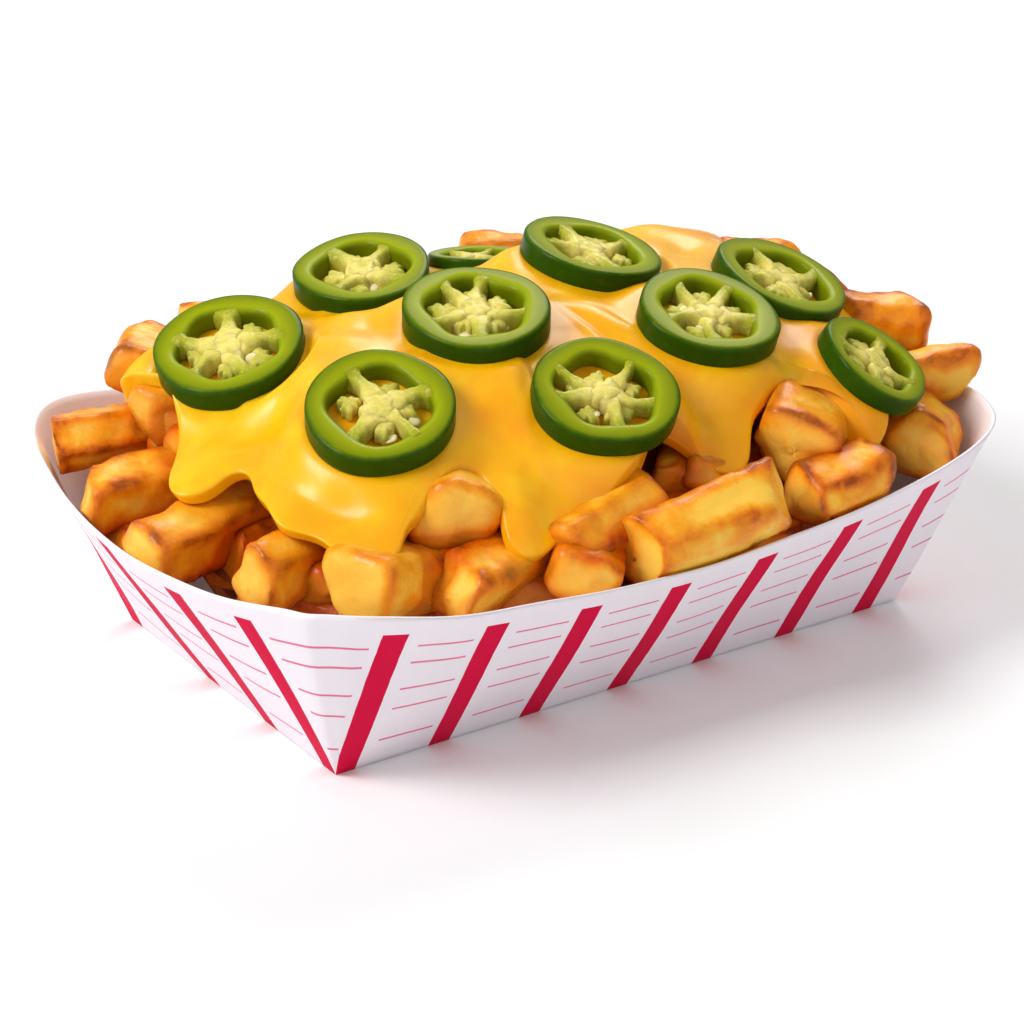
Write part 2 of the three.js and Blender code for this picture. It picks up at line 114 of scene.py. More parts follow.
# Rings of fries deep in the heap: count, share of the reach, depth under the dome.
FILLER_RINGS = [(12, 0.68, 11.0), (5, 0.42, 12.0), (9, 0.84, 20.0)]
FILLER_X, FILLER_Y = 84.0, 58.0
# Points along a fry's body and round it.
FRY_BODY_ROWS, FRY_AROUND = 18, 40
# The sauce's grid: columns round the heap, then rows on top, round the lip and underneath.
SAUCE_COLUMNS, TOP_ROWS, LIP_ROWS, UNDER_ROWS = 420, 130, 9, 28
# The sauce's lower edge, point by point round the heap: x and y.
SAUCE_EDGE = [
    (-66, 31), (-63.5, 28), (-62.5, 25), (-65.5, 20), (-70.5, 14), (-75, 9), (-78, 4), (-79, 0), (-76, -3),
    (-73, -3), (-70, -2), (-67, -4), (-67, -8), (-69, -12), (-69, -17), (-70, -21), (-71, -25), (-68, -28),
    (-66, -31), (-65, -35), (-66, -39), (-66, -43), (-63, -43), (-60, -44), (-56, -45), (-53, -41),
    (-50, -39), (-47, -39), (-44, -36), (-39, -35), (-36, -34), (-31, -35), (-31, -38), (-31, -42),
    (-32, -46), (-34, -49), (-34, -52), (-32, -54), (-29, -54), (-26, -53), (-24, -52), (-18, -51),
    (-14, -50), (-9, -48), (-5, -47), (-1, -45), (3, -42), (6, -39), (9, -38), (12, -41), (14, -45),
    (15, -48), (16, -50), (19, -50), (23, -50), (26, -45), (29, -41), (33, -39), (38, -37), (43, -37),
    (45, -39), (47, -41), (47, -46), (49, -49), (51, -52), (52, -54), (54, -52), (56, -48), (58, -45),
    (66, -42), (72, -35), (77, -25), (79, -18), (77, -8), (74, 0), (75, 8), (78, 14), (77, 19), (72, 22),
    (68, 27), (67, 33), (63, 38), (58, 40), (53, 40), (48, 42), (45, 49), (42, 55), (37, 56), (34, 50),
    (29, 45), (22, 46), (17, 49), (10, 47), (5, 50), (2, 56), (-3, 58), (-7, 53), (-11, 48), (-19, 47),
    (-24, 50), (-29, 54), (-34, 52), (-37, 46), (-42, 44), (-47, 47), (-52, 48), (-55, 44), (-61, 43),
    (-66, 41), (-69, 38), (-68, 34),
]
# Pepper slices: x, y, z, diameter, thickness, tilt, bearing of the tilt, chambers.
PEPPER_SLICES = [
    (-52.4, 23.6, 61.7, 30.6, 5.2, 17, 212, 5),
    (-16, 32, 67, 28.5, 5.2, 8, 205, 4),
    (-12, -4, 69.4, 29, 5.8, 12, 240, 5),
    (-44, -19, 62, 29.5, 5.2, 22, 240, 4),
    (-2, -34, 60.6, 28.6, 5.2, 24, 260, 5),
    (25, 10, 69.9, 28.5, 4.8, 14, 325, 4),
    (31.6, -21.8, 65.3, 28.2, 5, 17, 280, 5),
    (59.8, -8.4, 62, 29, 4.8, 21, 315, 4),
    (60.8, -38.4, 54, 24.4, 4.4, 33, 310, 4),
    (11, 31.5, 64.4, 20, 4, 13, 60, 4),
]
# Where the crimson bars stand: x along each long side, y along each end, and how the end ones lean.
SIDE_BARS = [-66.2, -44.6, -23.5, -2.5, 18.2, 39.0, 59.0]
END_BARS = [-37.8, -16.3, 9.0, 35.0]
END_LEANS = [0.6, -0.2, 6.4, -7.0]
# How far the print reaches on each wall, and the bar number at its near edge, at each bar and at its
# far edge; then the number where the far corner ends.
SIDE_EDGE, END_EDGE = 78.4, 56.0
SIDE_NUMBERS = [-12.2 * 0.045, *range(len(SIDE_BARS)), len(SIDE_BARS) - 1 + 19.4 * 0.045]
END_NUMBERS = [-1 + 18.2 / 18, -1, -2, -3, -4, -4 - 21 / 55]
FAR_CORNER_NUMBER = len(SIDE_BARS) + len(END_BARS) - 4.28
# Half a bar's width and where dashes start and stop, in bar numbers; a bar's top, the rows of dashes and
# half a dash's width, in shares of the wall's height.
BAR_HALF, DASH_START, DASH_STOP = 0.116, 0.25, 0.81
BAR_TOP, DASH_ROWS, DASH_HALF = 0.893, (0.805, 0.69, 0.525, 0.39, 0.17), 0.0062
# A place in the print's map that takes no ink.
UNPRINTED = (0.5, 1.2)

NO_QUADS = np.zeros((0, 4), int)
NO_TRIANGLES = np.zeros((0, 3), int)


# ---------------------------------------------------------------- sizes a user may change
def length_of(name, description, default):
    """A length that a user may change, in metres."""
    return bpy.props.FloatProperty(name=name, description=description, default=default, unit="LENGTH")


def angle_of(name, description, degrees):
    """An angle that a user may change."""
    return bpy.props.FloatProperty(
        name=name, description=description, default=math.radians(degrees), subtype="ANGLE")


def colour_of(name, surface, default):
    """A colour that a user may change, as an sRGB hex."""
    return bpy.props.StringProperty(name=name, description=f"sRGB hex of the {surface}", default=default)


class CheeseFriesTray(bpy.types.PropertyGroup):
    """Sizes and colours of the paper tray."""

    paper_thickness: length_of("Paper thickness", "Thickness of the paperboard", 0.0006)
    paper_colour: colour_of("Paper colour", "bleached board", "F7F1F6")
    ink_colour: colour_of("Bar colour", "crimson bars", "D6003E")
    dash_colour: colour_of("Dash colour", "thin dashes", "E2457C")


class CheeseFriesPotato(bpy.types.PropertyGroup):
    """Sizes and colours of the fries."""

    edge_radius: length_of("End radius", "Rounding where a fry's end meets its sides", 0.0026)
    lumpiness: length_of("Lumpiness", "How far the crust swells and dips", 0.00042)
    pale_colour: colour_of("Pale crust", "lightest crust", "FFC94A")
    golden_colour: colour_of("Golden crust", "usual crust", "F8A41C")
    brown_colour: colour_of("Brown edges", "browned edges", "CA6206")


class CheeseFriesCheese(bpy.types.PropertyGroup):
    """Sizes and colours of the cheese sauce."""

    depth: length_of("Depth", "Thickness of the sauce on top of the heap", 0.0052)
    edge_depth: length_of("Edge depth", "Thickness of the sauce at its rounded lower edge", 0.0026)
    sauce_colour: colour_of("Sauce colour", "cheese sauce", "FFB806")
    # The deep colour is the sauce's own deeper orange patches, and also its painted shade toward the right
    # and the lower edge.
    deep_colour: colour_of("Deep colour", "deep orange sauce and painted shade", "F8A208")


class CheeseFriesPepper(bpy.types.PropertyGroup):
    """Sizes and colours of the pepper slices."""

    wall_share: bpy.props.FloatProperty(
        name="Wall share", description="Thickness of a slice's wall as a share of its radius", default=0.33)
    skin_colour: colour_of("Skin colour", "glossy skin", "365604")
    flesh_colour: colour_of("Flesh colour", "cut wall", "8C9606")
    heart_colour: colour_of("Heart colour", "pale heart", "F2DD78")


class CheeseFriesStage(bpy.types.PropertyGroup):
    """The camera."""

    azimuth: angle_of("Azimuth", "Angle of the camera round the tray", -33.70)
    elevation: angle_of("Elevation", "Angle of the camera above the floor", 25.03)
    distance: length_of("Distance", "From the camera to its aim", 0.8386)
    lens: bpy.props.FloatProperty(
        name="Lens", description="Focal length on a 36 mm sensor, in mm", default=144.22)


# ---------------------------------------------------------------- nodes and meshes
def linear(colour):
    """Turns an sRGB hex colour to linear RGBA: each channel by the sRGB curve, alpha 1."""
    parts = [int(colour[i:i + 2], 16) / 255 for i in (0, 2, 4)]
    return tuple(c / 12.92 if c <= 0.04045 else ((c + 0.055) / 1.055) ** 2.4 for c in parts) + (1.0,)


class Value:
    """A value in a material. Sums, differences, products and comparisons of values and numbers make Math
    nodes."""

    def __init__(self, socket):
        self.socket = socket

    def __add__(self, other):
        return maths("ADD", self, other)

    def __sub__(self, other):
        return maths("SUBTRACT", self, other)

    def __rsub__(self, other):
        return maths("SUBTRACT", other, self)

    def __mul__(self, other):
        return maths("MULTIPLY", self, other)

    def __lt__(self, other):
        return maths("LESS_THAN", self, other)

    def __gt__(self, other):
        return maths("GREATER_THAN", self, other)

    __radd__, __rmul__ = __add__, __mul__

    def clamped(self):
        """The same value, held between 0 and 1 by its own Math node."""
        self.socket.node.use_clamp = True
        return self


def add_node(tree, kind, settings):
    """Adds a node: a Value is linked to its input, anything else set on its property or its input."""
    node = tree.nodes.new(kind)
    for key, value in settings.items():
        if isinstance(value, Value):
            tree.links.new(value.socket, node.inputs[key])
        elif isinstance(key, str) and hasattr(node, key):
            setattr(node, key, value)
        else:
            node.inputs[key].default_value = value
    return node


def maths(operation, *terms):
    """One Math node on values and numbers, at least one of them a value."""
    tree = next(term.socket.id_data for term in terms if isinstance(term, Value))
    node = add_node(tree, "ShaderNodeMath", {"operation": operation, **dict(enumerate(terms))})
    return Value(node.outputs["Value"])


def new_material(name, settings):
    """A material with one Principled shader whose constants sit on its own sockets."""
    material = bpy.data.materials.new(name)
    material.use_nodes = True
    tree = material.node_tree
    tree.nodes.clear()
    shader = add_node(tree, "ShaderNodeBsdfPrincipled", settings)
    add_node(tree, "ShaderNodeOutputMaterial", {"Surface": Value(shader.outputs["BSDF"])})
    return material, tree, shader


def drive(tree, shader, inputs, relief=None, strength=0.0, depth=0.0):
    """Links values to the shader's inputs, and a relief of that strength and depth in mm to its normal."""
    if relief is not None:
        settings = {"Strength": strength, "Distance": depth * MM, "Height": relief}
        bump = add_node(tree, "ShaderNodeBump", settings)
        inputs = {**inputs, "Normal": Value(bump.outputs["Normal"])}
    for name, value in inputs.items():
        tree.links.new(value.socket, shader.inputs[name])


def ramp(tree, factor, stops):
    """A colour ramp of (position, hex or grey) stops, driven by factor."""
    node = add_node(tree, "ShaderNodeValToRGB", {"Fac": factor})
    elements = node.color_ramp.elements
    while len(elements) < len(stops):
        elements.new(0.5)
    for element, (position, colour) in zip(elements, stops):
        element.position = position
        element.color = linear(colour) if isinstance(colour, str) else (colour, colour, colour, 1.0)
    return Value(node.outputs["Color"])


def blend(tree, factor, first, second, mode="MIX"):
    """One colour Mix node from first to second by factor; each is a value or an sRGB hex."""
    first, second = (linear(colour) if isinstance(colour, str) else colour for colour in (first, second))
    node = add_node(tree, "ShaderNodeMix", {
        "data_type": "RGBA", "blend_type": mode, "clamp_factor": True, 0: factor, 6: first, 7: second})
    return Value(node.outputs[2])


def object_place(tree):
    """Object coordinates, in metres."""
    return Value(add_node(tree, "ShaderNodeTexCoord", {}).outputs["Object"])


def spots(tree, size, detail=3.0, roughness=0.5, warp=0.0, offset=0.0):
    """Noise on object coordinates whose lumps are size mm across."""
    shift = add_node(tree, "ShaderNodeMapping", {
        "Location": (offset, offset * 1.7, -offset), "Vector": object_place(tree)})
    noise = add_node(tree, "ShaderNodeTexNoise", {
        "Scale": 1 / (size * MM), "Detail": detail, "Roughness": roughness, "Distortion": warp,
        "Vector": Value(shift.outputs["Vector"])})
    return Value(noise.outputs["Fac"])


def attribute(tree, name):
    """A piece's own per-vertex value."""
    return Value(add_node(tree, "ShaderNodeAttribute", {"attribute_name": name}).outputs["Fac"])


def grid_quads(rows, columns):
    """Quads between neighbouring rows and columns of a grid whose last column meets the first."""
    row = np.arange(rows - 1)[:, None]
    column = np.arange(columns)[None, :]
    beside = (column + 1) % columns
    low, high = row * columns, (row + 1) * columns
    corners = np.broadcast_arrays(low + column, low + beside, high + beside, high + column)
    return np.stack(corners, axis=-1).reshape(-1, 4)


def closed_tubes(grids):
    """Joins grids whose rows are rings into closed surfaces: quads along, a fan over each end."""
    points, quads, triangles, start = [], [], [], 0
    for grid in grids:
        rows, columns = grid.shape[:2]
        ring = np.arange(columns)
        beside = (ring + 1) % columns
        last = (rows - 1) * columns
        size = rows * columns
        points.append(np.concatenate([grid.reshape(-1, 3), [grid[0].mean(axis=0), grid[-1].mean(axis=0)]]))
        quads.append(start + grid_quads(rows, columns))
        triangles.append(start + np.concatenate([
            np.stack([np.full(columns, size), beside, ring], -1),
            np.stack([last + ring, last + beside, np.full(columns, size + 1)], -1)]))
        start += size + 2
    return np.concatenate(points), np.concatenate(quads), np.concatenate(triangles)


def mesh_object(name, points, quads, triangles, values, material):
    """A mesh object of points in mm, quads and triangles, with a float attribute for each of values."""
    mesh = bpy.data.meshes.new(name)
    mesh.vertices.add(len(points))
    mesh.vertices.foreach_set("co", (points * MM).astype(np.float32).ravel())
    corners = np.concatenate([quads.ravel(), triangles.ravel()]).astype(np.int32)
    totals = np.concatenate([np.full(len(quads), 4), np.full(len(triangles), 3)])
    mesh.loops.add(len(corners))
    mesh.loops.foreach_set("vertex_index", corners)
    mesh.polygons.add(len(totals))
    mesh.polygons.foreach_set("loop_start", (np.cumsum(totals) - totals).astype(np.int32))
    mesh.polygons.foreach_set("use_smooth", np.ones(len(totals), bool))
    mesh.update(calc_edges=True)
    for key, value in values.items():
        layer = mesh.attributes.new(key, "FLOAT", "POINT")
        layer.data.foreach_set("value", value.astype(np.float32).ravel())
    mesh.materials.append(material)
    piece = bpy.data.objects.new(name, mesh)
    bpy.context.scene.collection.objects.link(piece)
    return piece


def waves(points, size, seed):
    """Sum of eight sine waves about size mm long, along seeded directions, scaled to about -1 to 1."""
    count = 8
    draw = np.random.default_rng(seed)
    total = np.zeros(points.shape[:-1])
    for _ in range(count):
        direction = draw.normal(size=3)
        direction *= 2 * math.pi / (size * draw.uniform(0.7, 1.5)) / np.linalg.norm(direction)
        total += np.sin(points @ direction + draw.uniform(0, 2 * math.pi))
    return total / math.sqrt(2 * count)


def round_angles(count):
    """Even angles once round."""
    return np.linspace(0, 2 * math.pi, count, endpoint=False)


def ball_angles(rows, columns):
    """Latitudes by row, the poles left out, and longitudes by column."""
    return np.linspace(-math.pi / 2, math.pi / 2, rows + 2)[1:-1][:, None], round_angles(columns)[None, :]


def superellipse(angle, power):
    """The radius at an angle of |x|^power + |y|^power = 1."""
    return (np.abs(np.cos(angle)) ** power + np.abs(np.sin(angle)) ** power) ** (-1 / power)


def unit(vectors):
    """Each vector over its own length."""
    return vectors / np.linalg.norm(vectors, axis=-1, keepdims=True)


def smoothstep(low, high, value):
    """0 below low, 1 above high, and 3t^2 - 2t^3 in between."""
    share = np.clip((value - low) / (high - low), 0, 1)
    return share * share * (3 - 2 * share)


def wobble(piece, trait):
    """A fixed number from -1 to 1 for a piece and a trait: twice the fraction of a large sine, less one."""
    value = np.sin(piece * 12.9898 + trait * 78.233) * 43758.5453
    return 2 * (value - np.floor(value)) - 1


# ---------------------------------------------------------------- the tray
def rim_x(y):
    """Half length of the rim at y: 92 (1 - (y/64)^2.2)^(1/9)."""
    return RIM_X * np.maximum(0, 1 - (np.abs(y) / RIM_Y) ** RIM_POWER_Y) ** (1 / RIM_POWER_X)


def rim_y(x):
    """Half width of the rim at x: 64 (1 - (x/92)^9)^(1/2.2)."""
    return RIM_Y * np.maximum(0, 1 - (np.abs(x) / RIM_X) ** RIM_POWER_X) ** (1 / RIM_POWER_Y)


def rim_height(x, y):
    """Height of the rim: 36.75, up to 7.25 more at the corners and 1.75 more at the ends."""
    end = (np.abs(x) / RIM_X) ** RISE_POWER
    side = (np.abs(y) / RIM_Y) ** RISE_POWER
    return RIM_HEIGHT + CORNER_RISE * end * side / CORNER_SHARE + END_RISE * (end - side)


def half_perimeter():
    """Rim and base columns from the back of the near end, round the near corner, to the far corner."""
    end_steps, corner_steps, side_steps = PERIMETER_STEPS
    corner_at = rim_y(CORNER_FROM_X)
    end = np.linspace(CORNER_FROM_Y, -CORNER_FROM_Y, end_steps, endpoint=False)
    corner_y = np.linspace(-CORNER_FROM_Y, -corner_at, corner_steps, endpoint=False)
    side = np.linspace(-CORNER_FROM_X, CORNER_FROM_X, side_steps, endpoint=False)
    far_y = np.linspace(-corner_at, -CORNER_FROM_Y, corner_steps + 1)
    rim = np.concatenate([
        np.stack([-rim_x(end), end], -1),
        np.stack([-rim_x(corner_y), corner_y], -1),
        np.stack([side, -rim_y(side)], -1),
        np.stack([rim_x(far_y), far_y], -1),
    ])
    base = np.concatenate([
        np.stack([np.full(end.shape, -BASE_X), end * BASE_Y / CORNER_FROM_Y], -1),
        np.full((corner_steps, 2), (-BASE_X, -BASE_Y)),
        np.stack([side * BASE_X / CORNER_FROM_X, np.full(side.shape, -BASE_Y)], -1),
        np.full((corner_steps + 1, 2), (BASE_X, -BASE_Y)),
    ])
    return rim, base


def bar_numbers(points, share):
    """How many bars round the half perimeter a point lies: linear between neighbouring bars on the
    long side by x and on the end by y less its lean, and from one wall to the next over the corner."""
    end_steps, corner_steps, side_steps = PERIMETER_STEPS
    side_from = end_steps + corner_steps
    side_to = side_from + side_steps
    x, y = points[..., 0], points[..., 1]
    number = np.zeros(x.shape)
    end = np.s_[:, :end_steps + 1]
    ends_y = y[end] - (share[end] - 0.5) * np.interp(y[end], END_BARS, END_LEANS)
    number[end] = np.interp(ends_y, [-END_EDGE, *END_BARS, END_EDGE], END_NUMBERS)
    side = np.s_[:, side_from:side_to + 1]
    number[side] = np.interp(x[side], [-SIDE_EDGE, *SIDE_BARS, SIDE_EDGE], SIDE_NUMBERS)
    number[:, side_to + corner_steps] = FAR_CORNER_NUMBER
    for first, last in ((end_steps, side_from), (side_to, side_to + corner_steps)):
        start, stop = number[:, first, None], number[:, last, None]
        number[:, first:last + 1] = start + (stop - start) * np.linspace(0, 1, last - first + 1)
    return number


def build_tray(sizes):
    """The tray's outer wall, inner wall, rim edge, base and floor as one closed shell.
    A wall point lies on the straight line from its base column to its rim column, and the whole is bowed a
    little: outwards by a half sine up the wall, and along a soft crease at the front left corner and the
    corner opposite it."""
    rim, base = half_perimeter()
    rows = WALL_ROWS
    share = np.linspace(0, 1, rows)[:, None] * np.ones(len(rim))[None, :]
    half = np.zeros(share.shape + (3,))
    half[..., :2] = base + (rim - base) * share[..., None]
    half[..., 2] = rim_height(rim[:, 0], rim[:, 1]) * share
    number = bar_numbers(half, share)
    across = np.arctan2(-rim[:, 1] - BASE_Y, -rim[:, 0] - BASE_X)
    crease_at = math.atan2(CREASE_Y - BASE_Y, CREASE_X - BASE_X)
    crease = np.exp(-((across - crease_at) / 0.16) ** 2) * (rim[:, 0] < -60)
    outward = unit(rim - base)
    bow = 0.5 * np.sin(math.pi * share) * waves(half, 55, 4) + 0.7 * crease * share
    half[..., :2] += bow[..., None] * outward
    half[..., 2] += share ** 6 * 0.35 * waves(half, 30, 5)
    full = np.concatenate([half[:, :-1], half[:, :-1] * (-1, -1, 1)], axis=1)
    columns = full.shape[1]
    inset = sizes.paper_thickness / MM
    inner = full.copy()
    walls = ((BASE_X, RIM_X), (BASE_Y, RIM_Y))
    inner[..., :2] *= np.stack([1 - inset / (low + (high - low) * share[:, :1]) for low, high in walls], -1)
    inner[..., 2] = inset + full[..., 2] * (1 - inset / full[-1:, :, 2])
    lip = (full[-1] + inner[-1]) / 2 + (0, 0, 0.12)
    points, quads, triangles = closed_tubes([np.concatenate([full, lip[None], inner[::-1]])])
    wall = rows * columns
    inside = np.concatenate([np.zeros(wall), np.ones(columns), np.full(wall, 2.0), [0, 2]])
    piece = mesh_object("paper_tray", points, quads, triangles, {"inside": inside}, printed_board(sizes))

    # The print's map, on the outer wall only: bar number across, share of the wall's height up.
    near, far = (np.concatenate([part, part], axis=1) for part in (number[:, :-1], number[:, 1:]))
    level = np.linspace(0, 1, rows)[:, None] * np.ones(columns)
    low, high = np.s_[:-1], np.s_[1:]
    uv = np.full((2 * rows, columns, 4, 2), UNPRINTED)
    for corner, (bars, side) in enumerate(((near, low), (far, low), (far, high), (near, high))):
        uv[:rows - 1, :, corner] = np.stack([bars[side], level[side]], -1)
    uv = np.concatenate([uv.reshape(-1, 2), np.full((triangles.size, 2), UNPRINTED)])
    piece.data.uv_layers.new(name="print").data.foreach_set("uv", uv.astype(np.float32).ravel())
    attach(piece, "root")
    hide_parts("tray")


def printed_board(sizes):
    """Bleached kraft paperboard, calendered and flexo printed: matt, a little fibrous, flat ink bars."""
    material, tree, shader = new_material("Bleached paperboard, printed", {
        "Roughness": 0.62, "IOR": 1.5, "Specular IOR Level": 0.08})
    uv = Value(add_node(tree, "ShaderNodeUVMap", {"uv_map": "print"}).outputs["UV"])
    parts = add_node(tree, "ShaderNodeSeparateXYZ", {"Vector": uv}).outputs
    number, share = Value(parts["X"]), Value(parts["Y"])
    # Printed edges waver by a few tenths of a millimetre.
    waver = (spots(tree, 3.0) - 0.5) * 0.012
    place = maths("FRACT", number + 20.0)
    from_bar = maths("MINIMUM", place, 1.0 - place) + waver
    bar = (from_bar < BAR_HALF) * (share < BAR_TOP)
    # Rows of thin dashes between the bars, by share of the wall's height.
    row_place = share + (spots(tree, 16.0, 0.0) - 0.5) * 0.03
    rows = 0.0
    for at in DASH_ROWS:
        rows = maths("MAXIMUM", rows, maths("ABSOLUTE", row_place - at) < DASH_HALF)
    dash = rows * ((place > DASH_START) * (place < DASH_STOP))
    fibre = spots(tree, 1.2, 6.0, 0.7)
    board = blend(tree, spots(tree, 18.0, 2.0), sizes.paper_colour, "F1E9F2")
    board = blend(tree, fibre * 0.12, board, "E4D8DC")
    # Painted light: the inner wall is tinted a warmer white, standing in for light bounced from the fries.
    inside = attribute(tree, "inside") > 1.5
    board = blend(tree, inside * 0.4, board, "FFF2EA")
    inked = blend(tree, dash * 0.85, board, sizes.dash_colour)
    inked = blend(tree, bar, inked, sizes.ink_colour)
    drive(tree, shader, {"Base Color": inked}, fibre, 0.25, 0.15)
    return material


# ---------------------------------------------------------------- the heap of fries
def dome_height(x, y):
    """Foot plus rise times (1 - |x-6|/97 to a power) times (1 - |y-5|/reach to a power)."""
    along = np.abs(x - DOME_X) / DOME_REACH_X
    along = np.where(x < DOME_X, along ** DOME_POWER_LEFT, along ** DOME_POWER_RIGHT)
    front = (np.abs(y - DOME_Y) / DOME_REACH_FRONT) ** DOME_POWER_FRONT
    back = (np.abs(y - DOME_Y) / DOME_REACH_BACK) ** DOME_POWER_BACK
    across = np.where(y < DOME_Y, front, back)
    return DOME_FOOT + DOME_RISE * np.maximum(0, 1 - along) * np.maximum(0, 1 - across)
def dome_slope(x, y, step):
    """The dome's rise for each mm along X and along Y, taken over step mm each way."""
    along = (dome_height(x + step, y) - dome_height(x - step, y)) / (2 * step)
    across = (dome_height(x, y + step) - dome_height(x, y - step)) / (2 * step)
    return along, across


def back_fries():
    """The rows of fries round the back, by the same rule as the solid heap's."""
    made = []
    for row, (count, start, stop, reach, rise, length, swing, stack) in enumerate(BACK_ROWS):
        for i in range(count):
            piece = PIECES_PER_ROW * row + i
            bearing = math.radians(start + (stop - start) * (i + 0.3 * wobble(piece, 1)) / (count - 1))
            c, s = math.cos(bearing), math.sin(bearing)
            at_end = abs(c) > END_FROM_COSINE
            step = 0 if at_end else stack * (1 if i % 2 else -1)
            made.append((
                BACK_X * reach * math.copysign(math.sqrt(abs(c)), c),
                BACK_Y * reach * math.copysign(math.sqrt(abs(s)), s),
                DOME_FOOT + rise + step + 2 * wobble(piece, 2),
                length - abs(step) + 4 * wobble(piece, 3),
                BACK_WIDTH + wobble(piece, 4), BACK_HEIGHT + wobble(piece, 5),
                (END_HEADING if at_end else 0) + swing * wobble(piece, 6),
                6 * wobble(piece, 7), 20 * wobble(piece, 8), 0.5 + 0.5 * wobble(piece, 9)))
    return made


def filler_fries():
    """Fries lying lower between the others, so that no gap shows the core: seeded rings under the dome."""
    draw = np.random.default_rng(12)
    made = []
    for count, reach, under in FILLER_RINGS:
        for i in range(count):
            bearing = 2 * math.pi * (i + 0.5 * draw.random()) / count
            x, y = FILLER_X * reach * math.cos(bearing), FILLER_Y * reach * math.sin(bearing)
            z = min(float(dome_height(x, y)) - under, 45.0 if y > 0 else 37.0) - 6 * draw.random()
            made.append((
                x, y, z, draw.uniform(30, 38), BACK_WIDTH, BACK_HEIGHT, draw.uniform(-60, 60),
                draw.uniform(-8, 8), draw.uniform(-30, 30), 0.5))
    return made


def fry_frames(fries):
    """Middles, half sizes and turning matrices: roll about X, then pitch about -Y, then heading about Z."""
    table = np.array(fries, float)
    heading, pitch, roll = np.radians(table[:, 6:9]).T
    pitch = -pitch
    ch, sh, cp, sp, cr, sr = (f(a) for a in (heading, pitch, roll) for f in (np.cos, np.sin))
    turn = np.stack([
        np.stack([ch * cp, ch * sp * sr - sh * cr, ch * sp * cr + sh * sr], -1),
        np.stack([sh * cp, sh * sp * sr + ch * cr, sh * sp * cr - ch * sr], -1),
        np.stack([-sp, cp * sr, cp * cr], -1),
    ], 1)
    return table[:, :3], table[:, 3:6] / 2, turn


def fry_surface(fries, sizes):
    """Points of every fry at once. A cross-section is the superellipse |y|^5 + |z|^5 = 1 by angle, carried
    along the stick and shrunk round each end by a quarter circle. Planes then pare off some long edges
    and end corners, each pressing back what lies beyond it by a soft step, and the whole is tapered,
    bent by a parabola, twisted, and swollen by waves about 13, 6 and 3 mm long."""
    middles, halves, turn = fry_frames(fries)
    count = len(middles)
    around = FRY_AROUND
    angle = 2 * math.pi * (np.arange(around) + 0.5) / around
    radius = superellipse(angle, 5)
    rounding = sizes.edge_radius / MM
    arc = np.radians([0, 25, 48, 70, 90])
    scales = np.concatenate([[0.02, 0.2, 0.38], 1 - rounding / 6 * (1 - np.sin(arc))])
    insets = np.concatenate([[-0.3, -0.25, -0.12], rounding * (1 - np.cos(arc))])
    body = np.linspace(0, 1, FRY_BODY_ROWS + 2)[1:-1]
    draw = np.random.default_rng(7)

    length = 2 * halves[:, 0]
    start = -halves[:, :1] + insets[None, :]
    middle = -halves[:, :1] + rounding + (length[:, None] - 2 * rounding) * body[None, :]
    along = np.concatenate([start, middle, -start[:, ::-1]], axis=1)
    scale = np.concatenate([scales, np.ones(len(body)), scales[::-1]])
    share = along / halves[:, :1]
    size = scale[None, :] * (1 + draw.uniform(-0.07, 0.07, (count, 1)) * share)
    twist = draw.uniform(-0.12, 0.12, (count, 1)) * share
    bend_y = draw.uniform(-1.0, 1.0, (count, 1)) * (share ** 2 - 0.4)
    bend_z = draw.uniform(-0.8, 0.8, (count, 1)) * (share ** 2 - 0.4)

    across = size[..., None] * halves[:, 1][:, None, None] * radius * np.cos(angle)
    up = size[..., None] * halves[:, 2][:, None, None] * radius * np.sin(angle)
    local = np.stack([along[..., None] + 0 * across, across, up], -1)
    local = pare(local, halves, draw)
    x, y, z = np.moveaxis(local, -1, 0)
    c, s = np.cos(twist)[..., None], np.sin(twist)[..., None]
    local = np.stack([x, y * c - z * s + bend_y[..., None], y * s + z * c + bend_z[..., None]], -1)

    drift = local + draw.uniform(-400, 400, (count, 1, 1, 3))
    lump = sizes.lumpiness / MM
    swell = lump * (1.2 * waves(drift, 13, 21) + 0.7 * waves(drift, 6, 22) + 0.35 * waves(drift, 3, 23))
    towards_end = np.sign(x) * smoothstep(0.75, 1.0, np.abs(x) / halves[:, :1, None])
    radial = unit(np.stack([towards_end, np.cos(angle) + 0 * y, np.sin(angle) + 0 * y], -1))
    local = local + radial * swell[..., None]
    world = np.einsum("nij,nrcj->nrci", turn, local) + middles[:, None, None, :]
    cut = smoothstep(0.95, 0.6, scale)[None, :, None] * np.ones(across.shape)
    return world, sharpness(world), cut


def pare(local, halves, draw):
    """Pares each fry with eight planes: four along it, near the edges, and four off its ends' corners."""
    count = len(local)
    for cut_number in range(8):
        around = math.pi / 4 + math.pi / 2 * draw.integers(0, 4, count) + draw.uniform(-0.45, 0.45, count)
        if cut_number < 4:
            lean = draw.uniform(-0.07, 0.07, count)
            depth = draw.uniform(0.4, 3.4, count)
        else:
            lean = np.where(cut_number % 2, 1, -1) * draw.uniform(0.45, 1.25, count)
            depth = draw.uniform(1.0, 5.2, count)
        normal = np.stack([np.sin(lean), np.cos(lean) * np.cos(around), np.cos(lean) * np.sin(around)], -1)
        far = (np.abs(normal) * (halves - (1.2, 0.7, 0.7))).sum(-1) + 0.5 - depth
        over = np.einsum("nrci,ni->nrc", local, normal) - far[:, None, None]
        press = 0.22 * np.logaddexp(0, over / 0.22)
        local = local - press[..., None] * normal[:, None, None, :]
    return local


